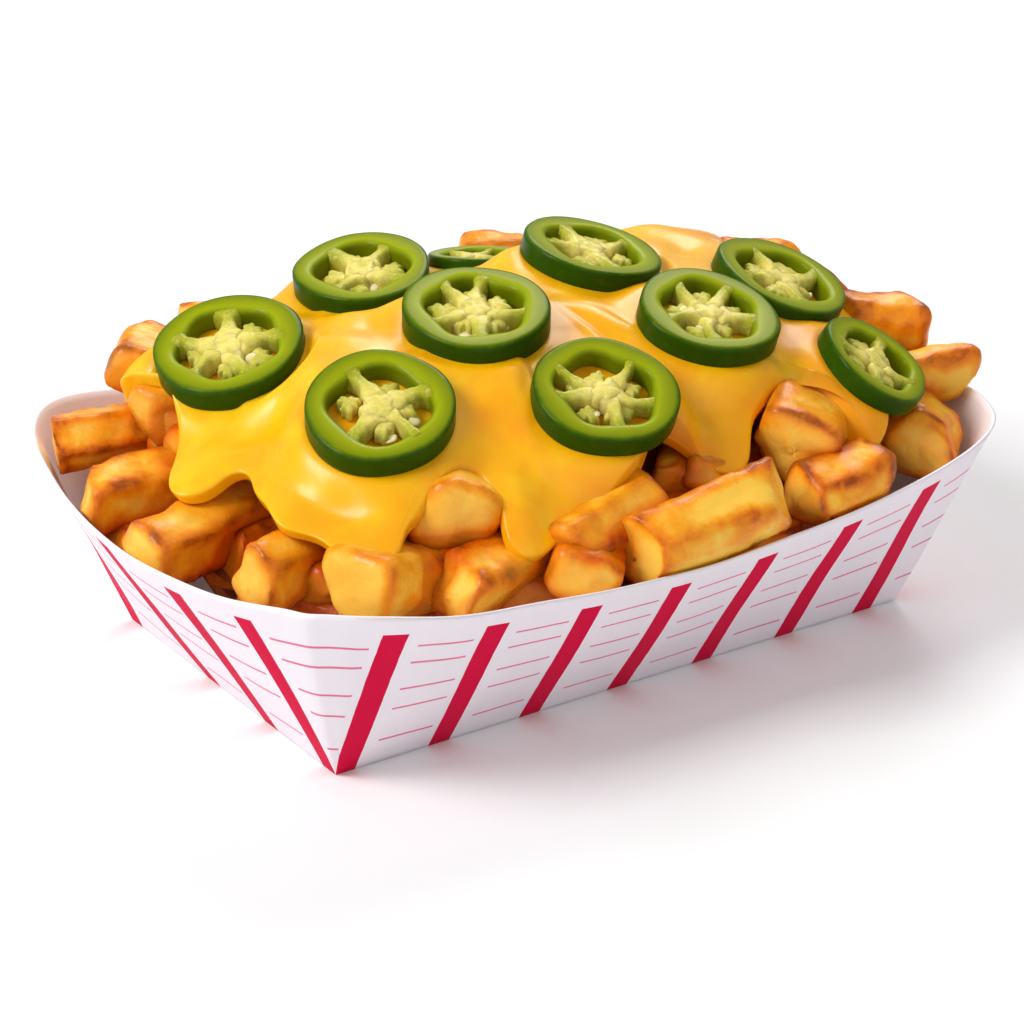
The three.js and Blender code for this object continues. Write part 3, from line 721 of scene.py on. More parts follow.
def sharpness(world):
    """How sharply the crust turns at each point, 0 to 1: twice the sag below its neighbours' middle over
    their distance squared, the larger of round the fry and along it."""
    sharp = np.zeros(world.shape[:3])
    out = np.cross(np.roll(world, -1, 2) - np.roll(world, 1, 2), np.gradient(world, axis=1))
    out /= np.maximum(np.linalg.norm(out, axis=-1, keepdims=True), 1e-9)
    middle = world.mean(axis=(1, 2), keepdims=True)
    out *= np.sign(((world - middle) * out).sum(axis=(1, 2, 3), keepdims=True))
    padded = np.pad(world, ((0, 0), (2, 2), (0, 0), (0, 0)), mode="edge")
    for ahead, behind in ((np.roll(world, -2, 2), np.roll(world, 2, 2)), (padded[:, 4:], padded[:, :-4])):
        span = np.linalg.norm(ahead - behind, axis=-1) / 2
        sag = ((world - (ahead + behind) / 2) * out).sum(-1)
        sharp = np.maximum(sharp, 2 * sag / np.maximum(span, 1.0) ** 2)
    for _ in range(2):
        sharp = (2 * sharp + np.roll(sharp, 1, 2) + np.roll(sharp, -1, 2)) / 4
        sharp[:, 1:-1] = (2 * sharp[:, 1:-1] + sharp[:, 2:] + sharp[:, :-2]) / 4
    return smoothstep(0.04, 0.42, sharp)


def nooks(world, fries):
    """How closely other fries shut a point in: the sum over them of exp(-d / 2.2), d being the distance in
    mm to each one taken as a rounded box. The crust is darkened by it as painted shade in the crevices."""
    middles, halves, turn = fry_frames(fries)
    total = np.zeros(world.shape[:3])
    for number, (middle, half, matrix) in enumerate(zip(middles, halves, turn)):
        close = np.nonzero(np.linalg.norm(middles - middle, axis=1) < 45)[0]
        close = close[close != number]
        beyond = np.maximum(np.abs((world[close] - middle) @ matrix) - (half - 2.0), 0)
        distance = np.maximum(np.sqrt((beyond ** 2).sum(-1)) - 2.0, 0)
        total[close] += np.exp(-distance / 2.2)
    return total


def inside_walls(points):
    """Keeps points at least 1.4 mm inside the tray's walls: below the rim, |y| stays under
    40 + (rim_y - 40) share and |x| under 68 + (rim_x - 68) share, both less the gap."""
    x, y, z = points[..., 0], points[..., 1], points[..., 2]
    height = rim_height(np.clip(x, -RIM_X, RIM_X), np.clip(y, -RIM_Y, RIM_Y))
    share = np.clip(z / height, 0, 1.15)
    rim_at_x = rim_y(np.clip(x / (0.919 + 0.081 * share), 1 - RIM_X, RIM_X - 1))
    rim_at_y = rim_x(np.clip(y / (0.8 + 0.2 * share), 1 - RIM_Y, RIM_Y - 1))
    limit_y = BASE_Y + (rim_at_x - BASE_Y) * share - WALL_GAP
    limit_x = BASE_X + (rim_at_y - BASE_X) * share - WALL_GAP
    below = smoothstep(1.15, 1.0, z / height)
    y = np.where(np.abs(y) > limit_y, y + (np.sign(y) * limit_y - y) * below, y)
    x = np.where(np.abs(x) > limit_x, x + (np.sign(x) * limit_x - x) * below, x)
    return np.stack([x, y, np.maximum(z, 2.0)], -1)


def build_fries(sizes, edge_line):
    """All the fries as one piece, over a smaller core."""
    fries = OUTER_FRIES + back_fries() + filler_fries()
    world, edge, cut = fry_surface(fries, sizes)
    world = inside_walls(world)
    # Painted shade: the crust darkens where other fries shut it in, and below 37 mm in the heap.
    crevice_shade = nooks(world, fries) + 0.6 * smoothstep(37, 31, world[..., 2])
    points, quads, triangles = closed_tubes(world)

    def spread(value, pole):
        """The value of each grid point fry by fry, with pole for the two points that close its ends."""
        return np.concatenate([value.reshape(len(fries), -1), np.full((len(fries), 2), pole)], axis=1)

    values = {
        "browning": spread(edge, 0.0),
        "cut": spread(cut, 1.0),
        "tone": np.repeat([fry[-1] for fry in fries], len(points) // len(fries)),
        "sauced": np.exp(-nearest(points, edge_line) / 4.5),
        "crevice_shade": spread(crevice_shade, 0.0),
    }
    piece = mesh_object("fries", points, quads, triangles, values, potato_crust(sizes))
    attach(piece, "root")
    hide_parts("fries_heap")


def build_core():
    """The core that fills the heap: rings like rounded boxes, 15 mm and more under the dome, painted dark
    as the shade seen between the fries.
    """
    turn = round_angles(120)
    reach = np.linspace(1, 0.02, 24)[:, None]
    x = DOME_X * (1 - reach) + 72 * reach * np.sign(np.cos(turn)) * np.abs(np.cos(turn)) ** 0.7
    y = 48 * reach * np.sign(np.sin(turn)) * np.abs(np.sin(turn)) ** 0.7
    top = np.stack([x, y, dome_height(x, y) - 15 - 6 * reach], -1)
    foot = top[0] * (0.80, 0.72, 0) + (0, 0, 3)
    points, quads, triangles = closed_tubes([np.concatenate([foot[None], top])])
    core = mesh_object("fries_core", inside_walls(points), quads, triangles, {}, potato_in_painted_shade())
    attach(core, "root")


def potato_crust(sizes):
    """Double-fried potato: a thin golden crust, browner along its edges, paler on cut ends, oily, and
    darkened with painted shade in the crevices between fries and low in the heap.
    """
    material, tree, shader = new_material("Fried potato crust", {
        "Roughness": 0.36, "IOR": 1.4, "Specular IOR Level": 0.3, "Coat Weight": 0.1,
        "Coat Roughness": 0.12, "Subsurface Weight": 0.3, "Subsurface Radius": (1.0, 0.4, 0.12),
        "Subsurface Scale": 3.0 * MM,
    })
    edge, cut, tone = (attribute(tree, name) for name in ("browning", "cut", "tone"))
    patches = spots(tree, 9.0, 3.0, 0.55, 0.5)
    blots = spots(tree, 3.6, 3.0, 0.55, 0.4, 0.3)
    grain = spots(tree, 0.9, 4.0, 0.65)
    brown = edge * (0.22 + blots * 0.9) + (patches - 0.43) * 1.7 + (tone - 0.4) * 0.4 + (grain - 0.5) * 0.3
    brown = (brown - cut * 0.26).clamped()
    crust = ramp(tree, brown, [
        (0.0, sizes.pale_colour), (0.3, sizes.golden_colour), (0.58, "E9840E"), (0.82, sizes.brown_colour),
        (1.0, "964006")])
    crumb = blend(tree, cut * (0.2 + patches * 0.6), crust, "FFC858")
    glaze = (attribute(tree, "sauced") * (0.2 + patches * 1.1)).clamped()
    colour = blend(tree, glaze, crumb, "F3A81A")
    # Painted shade: the colour is multiplied darker in the crevices between fries and low in the heap.
    painted_crevice_shade = ramp(tree, attribute(tree, "crevice_shade"), [(0.3, "FFFFFF"), (0.8, "F4C88E"), (1.0, "DCAC6C")])
    colour = blend(tree, 1.0, colour, painted_crevice_shade, "MULTIPLY")
    wet = 0.5 - blots * 0.36
    drive(tree, shader, {"Base Color": colour, "Roughness": wet}, blots + grain * 0.4, 0.5, 0.5)
    return material


def potato_in_painted_shade():
    """Fries deep in the heap, seen only between others: matt, and painted dark as the shade that lies
    between them.
    """
    material, tree, shader = new_material("Fried potato deep in the heap, painted dark as shade", {"Roughness": 0.7})
    drive(tree, shader, {"Base Color": ramp(tree, spots(tree, 6.0), [(0.3, "7A2E08"), (0.7, "A85A17")])})
    return material


# ---------------------------------------------------------------- the cheese sauce
def sauce_edge(columns):
    """The lower edge at even steps along its length, the same line smoothed over about 16 mm, and the
    way square to it. That way is 5 mm long, or three quarters of the radius of the largest circle that
    touches the line there from inside, where a tongue of sauce is narrower."""
    listed = np.array(SAUCE_EDGE + SAUCE_EDGE[:1], float)
    passed = np.concatenate([[0], np.cumsum(np.linalg.norm(np.diff(listed, axis=0), axis=1))])
    steps = passed[-1] * np.arange(columns) / columns
    line = np.stack([np.interp(steps, passed, listed[:, i]) for i in (0, 1)], -1)
    frequency = np.fft.fftfreq(columns, passed[-1] / columns)

    def smooth(width):
        soften = np.exp(-2 * (math.pi * frequency * width) ** 2)[:, None]
        return np.fft.ifft(np.fft.fft(line, axis=0) * soften, axis=0).real

    run = smooth(2.5)
    run = np.roll(run, -1, 0) - np.roll(run, 1, 0)
    square = np.stack([run[:, 1], -run[:, 0]], -1) / np.linalg.norm(run, axis=1, keepdims=True)
    edge = smooth(1.5)
    apart = edge[None] - edge[:, None]
    inwards = -(apart * square[:, None]).sum(-1)
    room = np.where(inwards > 0.05, (apart ** 2).sum(-1) / np.maximum(2 * inwards, 0.1), 99.0).min(axis=1)
    room = np.minimum.reduce([np.roll(room, shift) for shift in range(-4, 5)])
    room = sum(np.roll(room, shift) for shift in range(-5, 6)) / 11
    return edge, smooth(16.0), smooth(36.0), square * np.minimum(5.0, 0.75 * room)[:, None]


def nearest(points, line):
    """Distance from each point to the closest point of a line."""
    least = np.full(len(points), np.inf)
    for part in np.array_split(line, 12):
        least = np.minimum(least, ((points[:, None, :] - part[None]) ** 2).sum(-1).min(axis=1))
    return np.sqrt(least)


def heap_distance(points, frames, softness):
    """Soft distance to the heap: -k log of the sum of exp(-d/k) over each fry's rounded-box distance and
    the lowered dome's height difference over its slope. The soft least bridges the gaps between fries."""
    middles, halves, turn = frames
    flat = points.reshape(-1, 3)
    x, y, z = flat.T
    slope_x, slope_y = dome_slope(x, y, 0.5)
    steep = np.sqrt(1 + np.minimum(slope_x ** 2 + slope_y ** 2, 9.0))
    total = np.exp(-np.clip((z - dome_height(x, y) + 6.0) / steep, -30, 60) / softness)
    for middle, half, matrix in zip(middles, halves, turn):
        near = np.abs((flat - middle) @ matrix) - (half - 2.5)
        outside = np.sqrt((np.maximum(near, 0) ** 2).sum(-1))
        distance = outside + np.minimum(near.max(-1), 0) - 2.5
        total += np.exp(-np.clip(distance, -30, 60) / softness)
    return (-softness * np.log(total)).reshape(points.shape[:-1])


def cheese_grid(sizes):
    """The sheet of sauce by column and by arc length from the middle, over the top, round its lip and
    back underneath. A column runs from the middle of the heap to a point of the lower edge along a
    Bezier curve that starts towards the smoothed edge and meets the edge squarely. Each point slides
    square to the dome until the soft distance to the heap is the wanted level: the depth on top, a half
    circle round the lip, just under the crust below. Broad waves and a thicker middle to each tongue
    give it its soft folds."""
    edge, smoothed, broad, square = sauce_edge(SAUCE_COLUMNS)
    start = np.array([DOME_X, 0.0])
    depth, edge_depth = sizes.depth / MM, sizes.edge_depth / MM
    fine = np.linspace(0, 1.06, 240)[None, :, None]
    spread = unit(broad - start)
    first = (start + 0.6 * np.linalg.norm(smoothed - start, axis=1, keepdims=True) * spread)[:, None]
    second = (edge - square)[:, None]
    rest = 1 - fine
    route = (
        rest ** 3 * start + 3 * rest ** 2 * fine * first + 3 * rest * fine ** 2 * second
        + fine ** 3 * edge[:, None])
    z = dome_height(route[..., 0], route[..., 1])
    hop = np.sqrt((np.diff(route, axis=1) ** 2).sum(-1) + np.diff(z, axis=1) ** 2)
    arc = np.concatenate([np.zeros((SAUCE_COLUMNS, 1)), np.cumsum(hop, axis=1)], axis=1)
    to_edge = np.array([np.interp(1.0, fine[0, :, 0], a) for a in arc])
    top = np.linspace(0.012, 1, TOP_ROWS) ** 0.9
    turned = np.linspace(0, math.pi, LIP_ROWS + 2)[1:-1]
    length = np.concatenate([
        to_edge[:, None] * top,
        to_edge[:, None] + edge_depth / 2 * np.sin(turned),
        to_edge[:, None] * np.linspace(1, 0.012, UNDER_ROWS),
    ], axis=1)
    x, y = (
        np.array([np.interp(want, a, line[:, i]) for want, a, line in zip(length, arc, route)])
        for i in (0, 1))
    slope_x, slope_y = dome_slope(x, y, 2.0)
    out = unit(np.stack([-slope_x, -slope_y, np.ones(x.shape)], -1))
    foot = np.stack([x, y, dome_height(x, y)], -1)

    share = length / to_edge[:, None]
    inland = nearest(foot[..., :2].reshape(-1, 2), edge).reshape(share.shape)
    bearing = np.arctan2(y - start[1], x - start[0])
    flow = np.stack([34 * np.cos(bearing), 34 * np.sin(bearing), inland / 5], -1)
    folds = smoothstep(38, 14, inland) * (0.8 * waves(flow, 13, 31) + 0.4 * waves(flow, 8, 32))
    level = edge_depth + (depth - edge_depth) * smoothstep(0, 18, inland) + 1.6 * smoothstep(8, 30, inland)
    level = level + folds + 1.2 * waves(foot, 30, 33) + 0.8 * waves(foot, 15, 34)
    level = level + 0.5 * np.exp(-((inland - 3.5) / 3.0) ** 2)
    level = np.maximum(level, 1.7)
    on_lip = np.s_[:, TOP_ROWS:TOP_ROWS + LIP_ROWS]
    beneath = np.s_[:, TOP_ROWS + LIP_ROWS:]
    low = -0.6
    last = level[:, TOP_ROWS - 1:TOP_ROWS]
    level[on_lip] = low + (last - low) * (0.5 + 0.5 * np.cos(turned))
    level[beneath] = low
    points = foot + 22 * out
    frames = fry_frames(OUTER_FRIES[PROUD_FRIES:] + back_fries())
    for _ in range(14):
        gap = heap_distance(points, frames, 2.2) - level
        points = points - out * np.clip(gap, -3, 8)[..., None]
    keep = smoothstep(TOP_ROWS + LIP_ROWS, TOP_ROWS - 6, np.arange(points.shape[1]))[None, :, None]
    for _ in range(8):
        along = points.copy()
        along[:, 1:-1] = (points[:, 2:] + points[:, :-2]) / 2
        smooth = 0.4 * points + 0.3 * beside_mean(points) + 0.3 * along
        points = points + (smooth - points) * np.maximum(keep, 0.25)
    return points, share


def beside_mean(points):
    """The mean of the two neighbours of each point in the columns beside it."""
    return (np.roll(points, 1, 0) + np.roll(points, -1, 0)) / 2


def press_slices(points):
    """Presses each pepper slice into the sauce's top. Under the slice the sauce lies flat against it; just
    outside its wall the sauce keeps its own height, held between the slice's underside and its top."""
    top = points[:, :TOP_ROWS]
    for x, y, z, diameter, thickness, tilt, bearing, _ in PEPPER_SLICES:
        axis = slice_axis(tilt, bearing)
        rise = (top - (x, y, z)) @ axis
        reach = np.sqrt(np.maximum(((top - (x, y, z)) ** 2).sum(-1) - rise ** 2, 0))
        radius = diameter / 2
        close = smoothstep(26, 16, np.abs(rise))
        low, high = 0.4 - thickness / 2, 1.8 - thickness / 2
        lift = np.maximum(low - rise, 0) * smoothstep(radius + 8, radius, reach)
        sink = np.maximum(rise - high, 0) * smoothstep(radius + 3.5, radius + 0.2, reach)
        held = rise + lift - sink
        under = smoothstep(radius - 0.4, radius - 2.8, reach)
        held = held + (0.5 - thickness / 2 - held) * under
        top += ((held - rise) * close)[..., None] * axis
def build_cheese(sizes):
    """The cheese sauce as one closed sheet; returns the line of its lower edge."""
    points, share = cheese_grid(sizes)
    press_slices(points)
    for _ in range(2):
        points[:, :TOP_ROWS] = (0.6 * points + 0.4 * beside_mean(points))[:, :TOP_ROWS]
    edge_line = points[:, TOP_ROWS + LIP_ROWS // 2]
    points, quads, triangles = closed_tubes([points.transpose(1, 0, 2)])
    lowness = np.concatenate([share.T.ravel(), [0, 0]])
    piece = mesh_object(
        "cheese_sauce_sheet", points, quads[:, ::-1], triangles[:, ::-1], {"lowness": lowness},
        cheese_sauce(sizes))
    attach(piece, "root")
    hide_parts("cheese_sauce")
    return edge_line


def cheese_sauce(sizes):
    """Warm processed-cheese sauce, poured: smooth, glossy and a little translucent."""
    material, tree, shader = new_material("Poured cheese sauce", {
        "Roughness": 0.3, "IOR": 1.42, "Specular IOR Level": 0.4, "Coat Weight": 0.06,
        "Coat Roughness": 0.1, "Subsurface Weight": 0.3, "Subsurface Radius": (1.0, 0.5, 0.06),
        "Subsurface Scale": 3.0 * MM,
    })
    cloud = spots(tree, 30.0, 2.0, 0.5, 0.8)
    streak = spots(tree, 11.0, 2.0, 0.5, 1.0, 0.4)
    # Painted light and shade: the tint runs lighter yellow toward the left, where the key light falls, and
    # deeper orange toward the right and the lower edge; the cloud and streak noise are the sauce's own
    # patches.
    shade_toward_right = Value(add_node(tree, "ShaderNodeSeparateXYZ", {"Vector": object_place(tree)}).outputs["X"])
    tint = cloud * 0.7 + streak * 0.35 + attribute(tree, "lowness") * 0.10 + shade_toward_right
    colour = ramp(tree, tint, [(0.36, "FFCC22"), (0.54, sizes.sauce_colour), (0.74, sizes.deep_colour)])
    wet = ramp(tree, streak, [(0.3, 0.22), (0.75, 0.4)])
    ripples = spots(tree, 4.0, 2.0, 0.45, 0.8)
    drive(tree, shader, {"Base Color": colour, "Roughness": wet}, ripples, 0.15, 0.4)
    return material


# ---------------------------------------------------------------- the pepper slices
def slice_axis(tilt, bearing):
    """The slice's normal: straight up, leant by tilt towards bearing."""
    tilt, bearing = math.radians(tilt), math.radians(bearing)
    level = math.sin(tilt)
    return np.array([level * math.cos(bearing), level * math.sin(bearing), math.cos(tilt)])


def slice_matrix(tilt, bearing):
    """Turns a slice lying flat about the level axis square to bearing."""
    normal = slice_axis(tilt, bearing)
    axis = np.array([-math.sin(math.radians(bearing)), math.cos(math.radians(bearing)), 0.0])
    return np.stack([np.cross(axis, normal), axis, normal], -1)


def slice_wall(radius, thickness, chambers, seed, wall_share):
    """The slice's wall: a rounded rectangle |r|^10 + |z|^10 = 1 carried round the outline. The outline
    wavers by three low harmonics, and the hollow bulges out at each chamber and in at each arm."""
    around, section = 120, 32
    draw = np.random.default_rng(seed)
    phases = draw.uniform(0, 2 * math.pi, 6)
    angle = round_angles(around)[:, None]
    outer = radius * (
        1 + 0.022 * np.cos(2 * angle + phases[0]) + 0.016 * np.cos(3 * angle + phases[1])
        + 0.007 * np.cos(5 * angle + phases[2]))
    inner = radius * (
        1 - wall_share + 0.045 * np.cos(chambers * (angle - phases[5]) + math.pi)
        + 0.02 * np.cos(2 * angle + phases[3]))
    turn = 2 * math.pi * (np.arange(section) + 0.5)[None, :] / section
    corner = superellipse(turn, 10)
    across, up = corner * np.cos(turn), corner * np.sin(turn)
    reach = (outer + inner) / 2 + (outer - inner) / 2 * across
    height = thickness / 2 * up * (1 - 0.16 * smoothstep(-0.35, -1.05, across))
    height = height + 0.12 * np.cos(2 * angle + phases[4]) * np.ones(height.shape)
    points = np.stack([reach * np.cos(angle), reach * np.sin(angle), height], -1)
    flesh = (0.5 + 0.5 * across) * np.ones(height.shape)
    return points, flesh, phases[5]


def slice_heart(radius, thickness, chambers, phase, seed, wall_share):
    """The pale heart, its arms and the pulp between them, all cut flat on top. Each arm is a tube from the
    middle to the wall whose section is the superellipse of power 4, widest at the heart and narrowest two
    thirds out; heart and pulp are balls flattened by the same power, their outlines lobed by cosines."""
    draw = np.random.default_rng(seed)
    rows, around = 34, 22
    share = np.linspace(0, 1, rows)[None, :, None]
    turn = round_angles(around)[None, None, :]
    square = superellipse(turn, 4)
    k = chambers
    bearing = phase + 2 * math.pi * (np.arange(k) + draw.uniform(-0.2, 0.2, k)) / k
    bearing = bearing[:, None, None]
    along = radius * (0.02 + (1.06 - wall_share) * share)
    width = radius * (0.18 - 0.1 * smoothstep(0.1, 0.6, share) + 0.09 * smoothstep(0.75, 1.0, share))
    width = width * draw.uniform(0.75, 1.3, (k, 1, 1))
    width = width * (
        1 + 0.12 * np.sin(11 * share + draw.uniform(0, 6, (k, 1, 1)))
        + 0.08 * np.sin(23 * share + draw.uniform(0, 6, (k, 1, 1))))
    tall = thickness * (
        0.36 + 0.08 * smoothstep(0.12, 0.3, share) + 0.03 * smoothstep(0.6, 0.95, share)
        + 0.012 * np.sin(9 * share + draw.uniform(0, 6, (k, 1, 1))))
    sway = radius * 0.08 * np.sin(math.pi * share) * draw.uniform(-1, 1, (k, 1, 1))
    side = width * square * np.cos(turn) + sway
    up = tall * square * np.sin(turn) + 0 * width
    along = along + 0 * side
    arms = np.stack([
        along * np.cos(bearing) - side * np.sin(bearing), along * np.sin(bearing) + side * np.cos(bearing),
        up], -1)

    lat, lon = ball_angles(16, 48)
    square = superellipse(lat, 4)
    lumps = (
        1 + 0.16 * np.cos(k * (lon - phase)) + 0.1 * np.cos(2 * lon + seed) + 0.08 * np.cos(9 * lon + seed))
    ball = radius * 0.25 * lumps * square * np.cos(lat)
    up = thickness * 0.46 * square * np.sin(lat) + 0 * lon
    balls = [np.stack([ball * np.cos(lon), ball * np.sin(lon), up], -1)]
    for chamber in range(k):
        middle = phase + 2 * math.pi * (chamber + draw.uniform(0.3, 0.7)) / k
        away, reach = radius * draw.uniform(0.28, 0.46), radius * draw.uniform(0.13, 0.21)
        lumps = 1 + 0.2 * np.cos(3 * lon + draw.uniform(0, 6)) + 0.14 * np.cos(7 * lon + draw.uniform(0, 6))
        ball = reach * lumps * square * np.cos(lat)
        low = draw.uniform(0.08, 0.24) * thickness
        balls.append(np.stack([
            away * math.cos(middle) + ball * np.cos(lon), away * math.sin(middle) + ball * np.sin(lon),
            thickness * 0.36 * square * np.sin(lat) - low + 0 * lon], -1))
    return list(arms) + balls


def outwards(points, quads, triangles):
    """Turns every face round if the enclosed volume, the sum of each face's corner product, is negative."""
    halves = np.concatenate([quads[:, :3], quads[:, [0, 2, 3]], triangles])
    a, b, c = (points[halves[:, i]] for i in range(3))
    if np.einsum("ij,ij->", a, np.cross(b, c)) < 0:
        return quads[:, ::-1], triangles[:, ::-1]
    return quads, triangles


def build_slices(sizes):
    """Each pepper slice as one piece of wall, heart and arms, and all their seeds as another."""
    flesh_material = pepper_flesh(sizes)
    seed_grids = []
    for number, (x, y, z, diameter, thickness, tilt, bearing, chambers) in enumerate(PEPPER_SLICES, 1):
        radius = diameter / 2
        centre = (x, y, z)
        wall, flesh, phase = slice_wall(radius, thickness, chambers, 40 + number, sizes.wall_share)
        heart = slice_heart(radius, thickness, chambers, phase, 60 + number, sizes.wall_share)
        rows, columns = wall.shape[:2]
        wall_points = wall.reshape(-1, 3)
        wall_quads = grid_quads(rows + 1, columns) % (rows * columns)
        wall_quads, _ = outwards(wall_points, wall_quads, NO_TRIANGLES)
        soft_points, soft_quads, soft_triangles = closed_tubes(heart)
        drift = soft_points + 50 * number
        pulp = [0.13 * waves(drift, 4.5, s) + 0.05 * waves(drift, 1.7, s + 5) for s in (51, 52, 53)]
        soft_points = soft_points + np.stack(pulp, -1)
        soft_quads, soft_triangles = outwards(soft_points, soft_quads, soft_triangles)
        start = len(wall_points)
        matrix = slice_matrix(tilt, bearing)
        points = np.concatenate([wall_points, soft_points]) @ matrix.T + centre
        # From 0 to 1 across the wall, and below 0 by the share of the radius in the heart.
        soft_reach = np.sqrt((soft_points[:, :2] ** 2).sum(-1)) / radius
        name = f"pepper_slice_{number:02d}"
        piece = mesh_object(
            f"{name}_fine", points, np.concatenate([wall_quads, soft_quads + start]),
            soft_triangles + start, {"flesh": np.concatenate([flesh.ravel(), -soft_reach])}, flesh_material)
        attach(piece, "root")
        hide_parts(name)
        seed_grids += slice_seeds(radius, thickness, chambers, phase, matrix, centre, 80 + number)
    points, quads, triangles = closed_tubes(seed_grids)
    quads, triangles = outwards(points, quads, triangles)
    seeds = mesh_object("pepper_seeds", points, quads, triangles, {}, pepper_seed())
    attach(seeds, "root")
def slice_seeds(radius, thickness, chambers, phase, matrix, centre, seed):
    """Flat seeds in a slice's chambers: flattened balls 3 mm long, drawn out to a point at one end."""
    draw = np.random.default_rng(seed)
    lat, lon = ball_angles(7, 14)
    made = []
    for chamber in range(chambers):
        for _ in range(draw.integers(0, 3) > 0):
            bearing = phase + 2 * math.pi * (chamber + 0.5 + draw.uniform(-0.28, 0.28)) / chambers
            away = radius * draw.uniform(0.26, 0.5)
            size = draw.uniform(1.4, 1.8)
            length = size * np.sin(lat) + 0 * lon
            pointed = 1 - 0.25 * np.sin(lat)
            wide = size * 0.8 * np.cos(lat) * np.cos(lon) * pointed
            thick = size * 0.34 * np.cos(lat) * np.sin(lon)
            a, b, c = draw.uniform(-math.pi, math.pi), draw.uniform(-0.7, 0.7), draw.uniform(-0.7, 0.7)
            local = np.stack([length, wide, thick], -1)
            turn = np.array([[math.cos(a), -math.sin(a), 0], [math.sin(a), math.cos(a), 0], [0, 0, 1]])
            lean = np.array([[math.cos(b), 0, math.sin(b)], [0, 1, 0], [-math.sin(b), 0, math.cos(b)]])
            roll = np.array([[1, 0, 0], [0, math.cos(c), -math.sin(c)], [0, math.sin(c), math.cos(c)]])
            local = local @ (turn @ lean @ roll).T
            rise = draw.uniform(-0.25, 0.12) * thickness
            local = local + (away * math.cos(bearing), away * math.sin(bearing), rise)
            made.append(local @ matrix.T + centre)
    return made


def pepper_flesh(sizes):
    """Pickled green chilli, sliced: waxy dark skin, wet green wall, and a pale spongy heart."""
    material, tree, shader = new_material("Pickled green chilli flesh", {
        "Roughness": 0.3, "IOR": 1.36, "Specular IOR Level": 0.1, "Coat Weight": 0.05,
        "Coat Roughness": 0.06, "Subsurface Weight": 0.2, "Subsurface Radius": (0.8, 1.0, 0.15),
        "Subsurface Scale": 1.6 * MM,
    })
    flesh = attribute(tree, "flesh")
    mottled = spots(tree, 2.6, 4.0, 0.6, 0.5)
    glint_fleck = spots(tree, 0.7, 3.0, 0.6)
    radial = (flesh + (mottled - 0.5) * 0.14).clamped()
    # Painted shade: the hollow's side of the wall, flesh 0 to 0.1, is a darker olive for the shade inside
    # the chambers; the darker band toward the skin is the flesh's own colour.
    wall = ramp(tree, radial, [
        (0.0, "6E7C06"), (0.1, "84920A"), (0.22, "98A40C"), (0.5, sizes.flesh_colour), (0.8, "748404"),
        (0.9, "566A04"), (0.96, sizes.skin_colour), (1.0, "2C4C04")])
    pale = blend(tree, ramp(tree, mottled, [(0.38, 0.0), (0.7, 0.8)]), sizes.heart_colour, "BEBA44")
    pale = blend(tree, ramp(tree, flesh * -1.0, [(0.24, 0.0), (0.64, 0.95)]), pale, "9EA214")
    # Painted highlight: fine pale flecks on the heart stand in for glints on its wet pulp; the same noise
    # also bumps the surface.
    pale = blend(tree, ramp(tree, glint_fleck, [(0.52, 0.0), (0.72, 0.3)]), pale, "FBF3C0")
    is_heart = flesh < -0.0001
    relief = (mottled + glint_fleck * 0.5) * (0.35 + is_heart)
    # The heart is wetter and clearer than the wall.
    drive(tree, shader, {
        "Base Color": blend(tree, is_heart, wall, pale), "Roughness": 0.3 - is_heart * 0.1,
        "Subsurface Weight": 0.2 + is_heart * 0.1}, relief, 0.22, 0.3)
    return material


def pepper_seed():
    """Chilli seeds: cream, smooth and wet."""
    material, tree, shader = new_material("Chilli seed", {
        "Roughness": 0.25, "Subsurface Weight": 0.2, "Subsurface Radius": (1.0, 0.8, 0.4),
        "Subsurface Scale": 1.0 * MM})
    drive(tree, shader, {"Base Color": ramp(tree, spots(tree, 1.5), [(0.3, "E9D98E"), (0.7, "F8F0BE")])})
    return material


# ---------------------------------------------------------------- the stage
def soft_light(name, place, aim, size, power):
    """A square area light at place, turned to aim, both in metres."""
    light = bpy.data.lights.new(name, "AREA")
    light.shape = "SQUARE"
    light.size = size
    light.energy = power
    lamp = bpy.data.objects.new(name, light)
    lamp.location = place
    lamp.rotation_euler = (Vector(aim) - Vector(place)).to_track_quat("-Z", "Y").to_euler()
    bpy.context.scene.collection.objects.link(lamp)


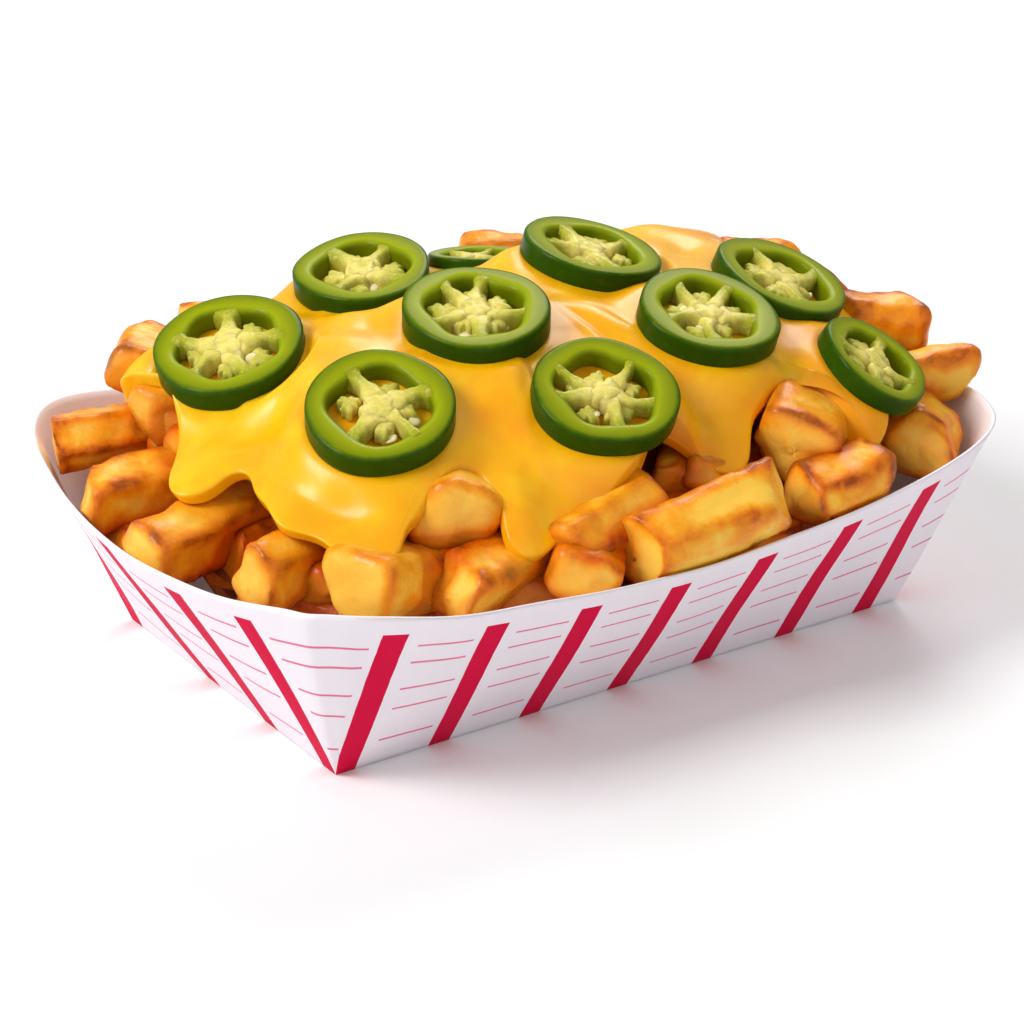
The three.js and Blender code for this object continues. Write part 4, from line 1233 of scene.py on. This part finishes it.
def build_stage(settings):
    """Pale floor, soft lights and the camera."""
    corners = 96
    number = np.arange(corners)
    turn = round_angles(corners)
    ring = np.stack([np.cos(turn), np.sin(turn), 0 * turn], -1)
    points = np.concatenate([ring * 5000, [(0, 0, 0)]]) - (0, 0, 0.05)
    triangles = np.stack([np.full(corners, corners), number, (number + 1) % corners], -1)
    material, tree, shader = new_material("Matt white studio floor", {
        "Roughness": 0.85, "Specular IOR Level": 0.1})
    drive(tree, shader, {"Base Color": ramp(tree, spots(tree, 400.0), [(0.3, "F4F4F4"), (0.7, "F6F6F6")])})
    floor = mesh_object("studio_floor", points, NO_QUADS, triangles, {}, material)

    middle = (0, 0, 0.03)
    soft_light("key_from_upper_left", (-0.85, 0.15, 0.85), middle, 0.5, 10.5)
    soft_light("fill_from_front", (-0.1, -1.3, 0.9), middle, 1.2, 2.6)
    soft_light("edge_from_behind", (0.7, 0.7, 0.9), middle, 0.6, 7.0)
    world = bpy.data.worlds.new("Pale studio")
    world.use_nodes = True
    backdrop = world.node_tree.nodes["Background"]
    backdrop.inputs["Color"].default_value = (1.0, 1.0, 1.0, 1.0)
    backdrop.inputs["Strength"].default_value = 0.44
    bpy.context.scene.world = world
    bpy.context.scene.view_settings.view_transform = "Standard"

    back = Vector((
        math.sin(settings.azimuth) * math.cos(settings.elevation),
        -math.cos(settings.azimuth) * math.cos(settings.elevation),
        math.sin(settings.elevation)))
    lens = bpy.data.cameras.new("studio_camera")
    lens.lens = settings.lens
    lens.sensor_width = 36.0
    lens.clip_start, lens.clip_end = 0.01, 20.0
    camera = bpy.data.objects.new("studio_camera", lens)
    camera.location = Vector((-0.00056, 0.000375, 0.02229)) + back * settings.distance
    camera.rotation_euler = back.to_track_quat("Z", "Y").to_euler()
    bpy.context.scene.collection.objects.link(camera)
    bpy.context.scene.camera = camera


# ---------------------------------------------------------------- operators and panel
class CHEESEFRIES_OT_tray(bpy.types.Operator):
    """Build the printed paper tray"""

    bl_idname = "cheese_fries.tray"
    bl_label = "Paper Tray"

    def execute(self, context):
        build_tray(context.scene.cheese_fries_tray)
        return {"FINISHED"}


class CHEESEFRIES_OT_filling(bpy.types.Operator):
    """Pour the cheese sauce and lay the fries under it"""

    bl_idname = "cheese_fries.filling"
    bl_label = "Fries and Cheese Sauce"

    def execute(self, context):
        edge_line = build_cheese(context.scene.cheese_fries_cheese)
        build_fries(context.scene.cheese_fries_potato, edge_line)
        build_core()
        return {"FINISHED"}


class CHEESEFRIES_OT_slices(bpy.types.Operator):
    """Lay the pepper slices and their seeds"""

    bl_idname = "cheese_fries.slices"
    bl_label = "Pepper Slices"

    def execute(self, context):
        build_slices(context.scene.cheese_fries_pepper)
        return {"FINISHED"}


class CHEESEFRIES_OT_stage(bpy.types.Operator):
    """Set the floor, the lights and the camera"""

    bl_idname = "cheese_fries.stage"
    bl_label = "Studio"

    def execute(self, context):
        build_stage(context.scene.cheese_fries_stage)
        return {"FINISHED"}


class CHEESEFRIES_PT_panel(bpy.types.Panel):
    """Lists the pieces in the order they are made"""

    bl_idname = "CHEESEFRIES_PT_panel"
    bl_label = "Cheese Fries"
    bl_space_type = "VIEW_3D"
    bl_region_type = "UI"
    bl_category = "Cheese Fries"

    def draw(self, context):
        for operator in OPERATORS:
            self.layout.operator(operator.bl_idname)


GROUPS = {
    "cheese_fries_tray": CheeseFriesTray,
    "cheese_fries_potato": CheeseFriesPotato,
    "cheese_fries_cheese": CheeseFriesCheese,
    "cheese_fries_pepper": CheeseFriesPepper,
    "cheese_fries_stage": CheeseFriesStage,
}
OPERATORS = [CHEESEFRIES_OT_stage, CHEESEFRIES_OT_tray, CHEESEFRIES_OT_filling, CHEESEFRIES_OT_slices]


def register():
    for name, group in GROUPS.items():
        bpy.utils.register_class(group)
        setattr(bpy.types.Scene, name, bpy.props.PointerProperty(type=group))
    for item in OPERATORS + [CHEESEFRIES_PT_panel]:
        bpy.utils.register_class(item)


def unregister():
    for item in [CHEESEFRIES_PT_panel] + OPERATORS[::-1]:
        bpy.utils.unregister_class(item)
    for name, group in GROUPS.items():
        delattr(bpy.types.Scene, name)
        bpy.utils.unregister_class(group)


def main():
    register()
    bpy.ops.cheese_fries.stage()
    bpy.ops.cheese_fries.tray()
    bpy.ops.cheese_fries.filling()
    bpy.ops.cheese_fries.slices()


if __name__ == "__main__":
    main()
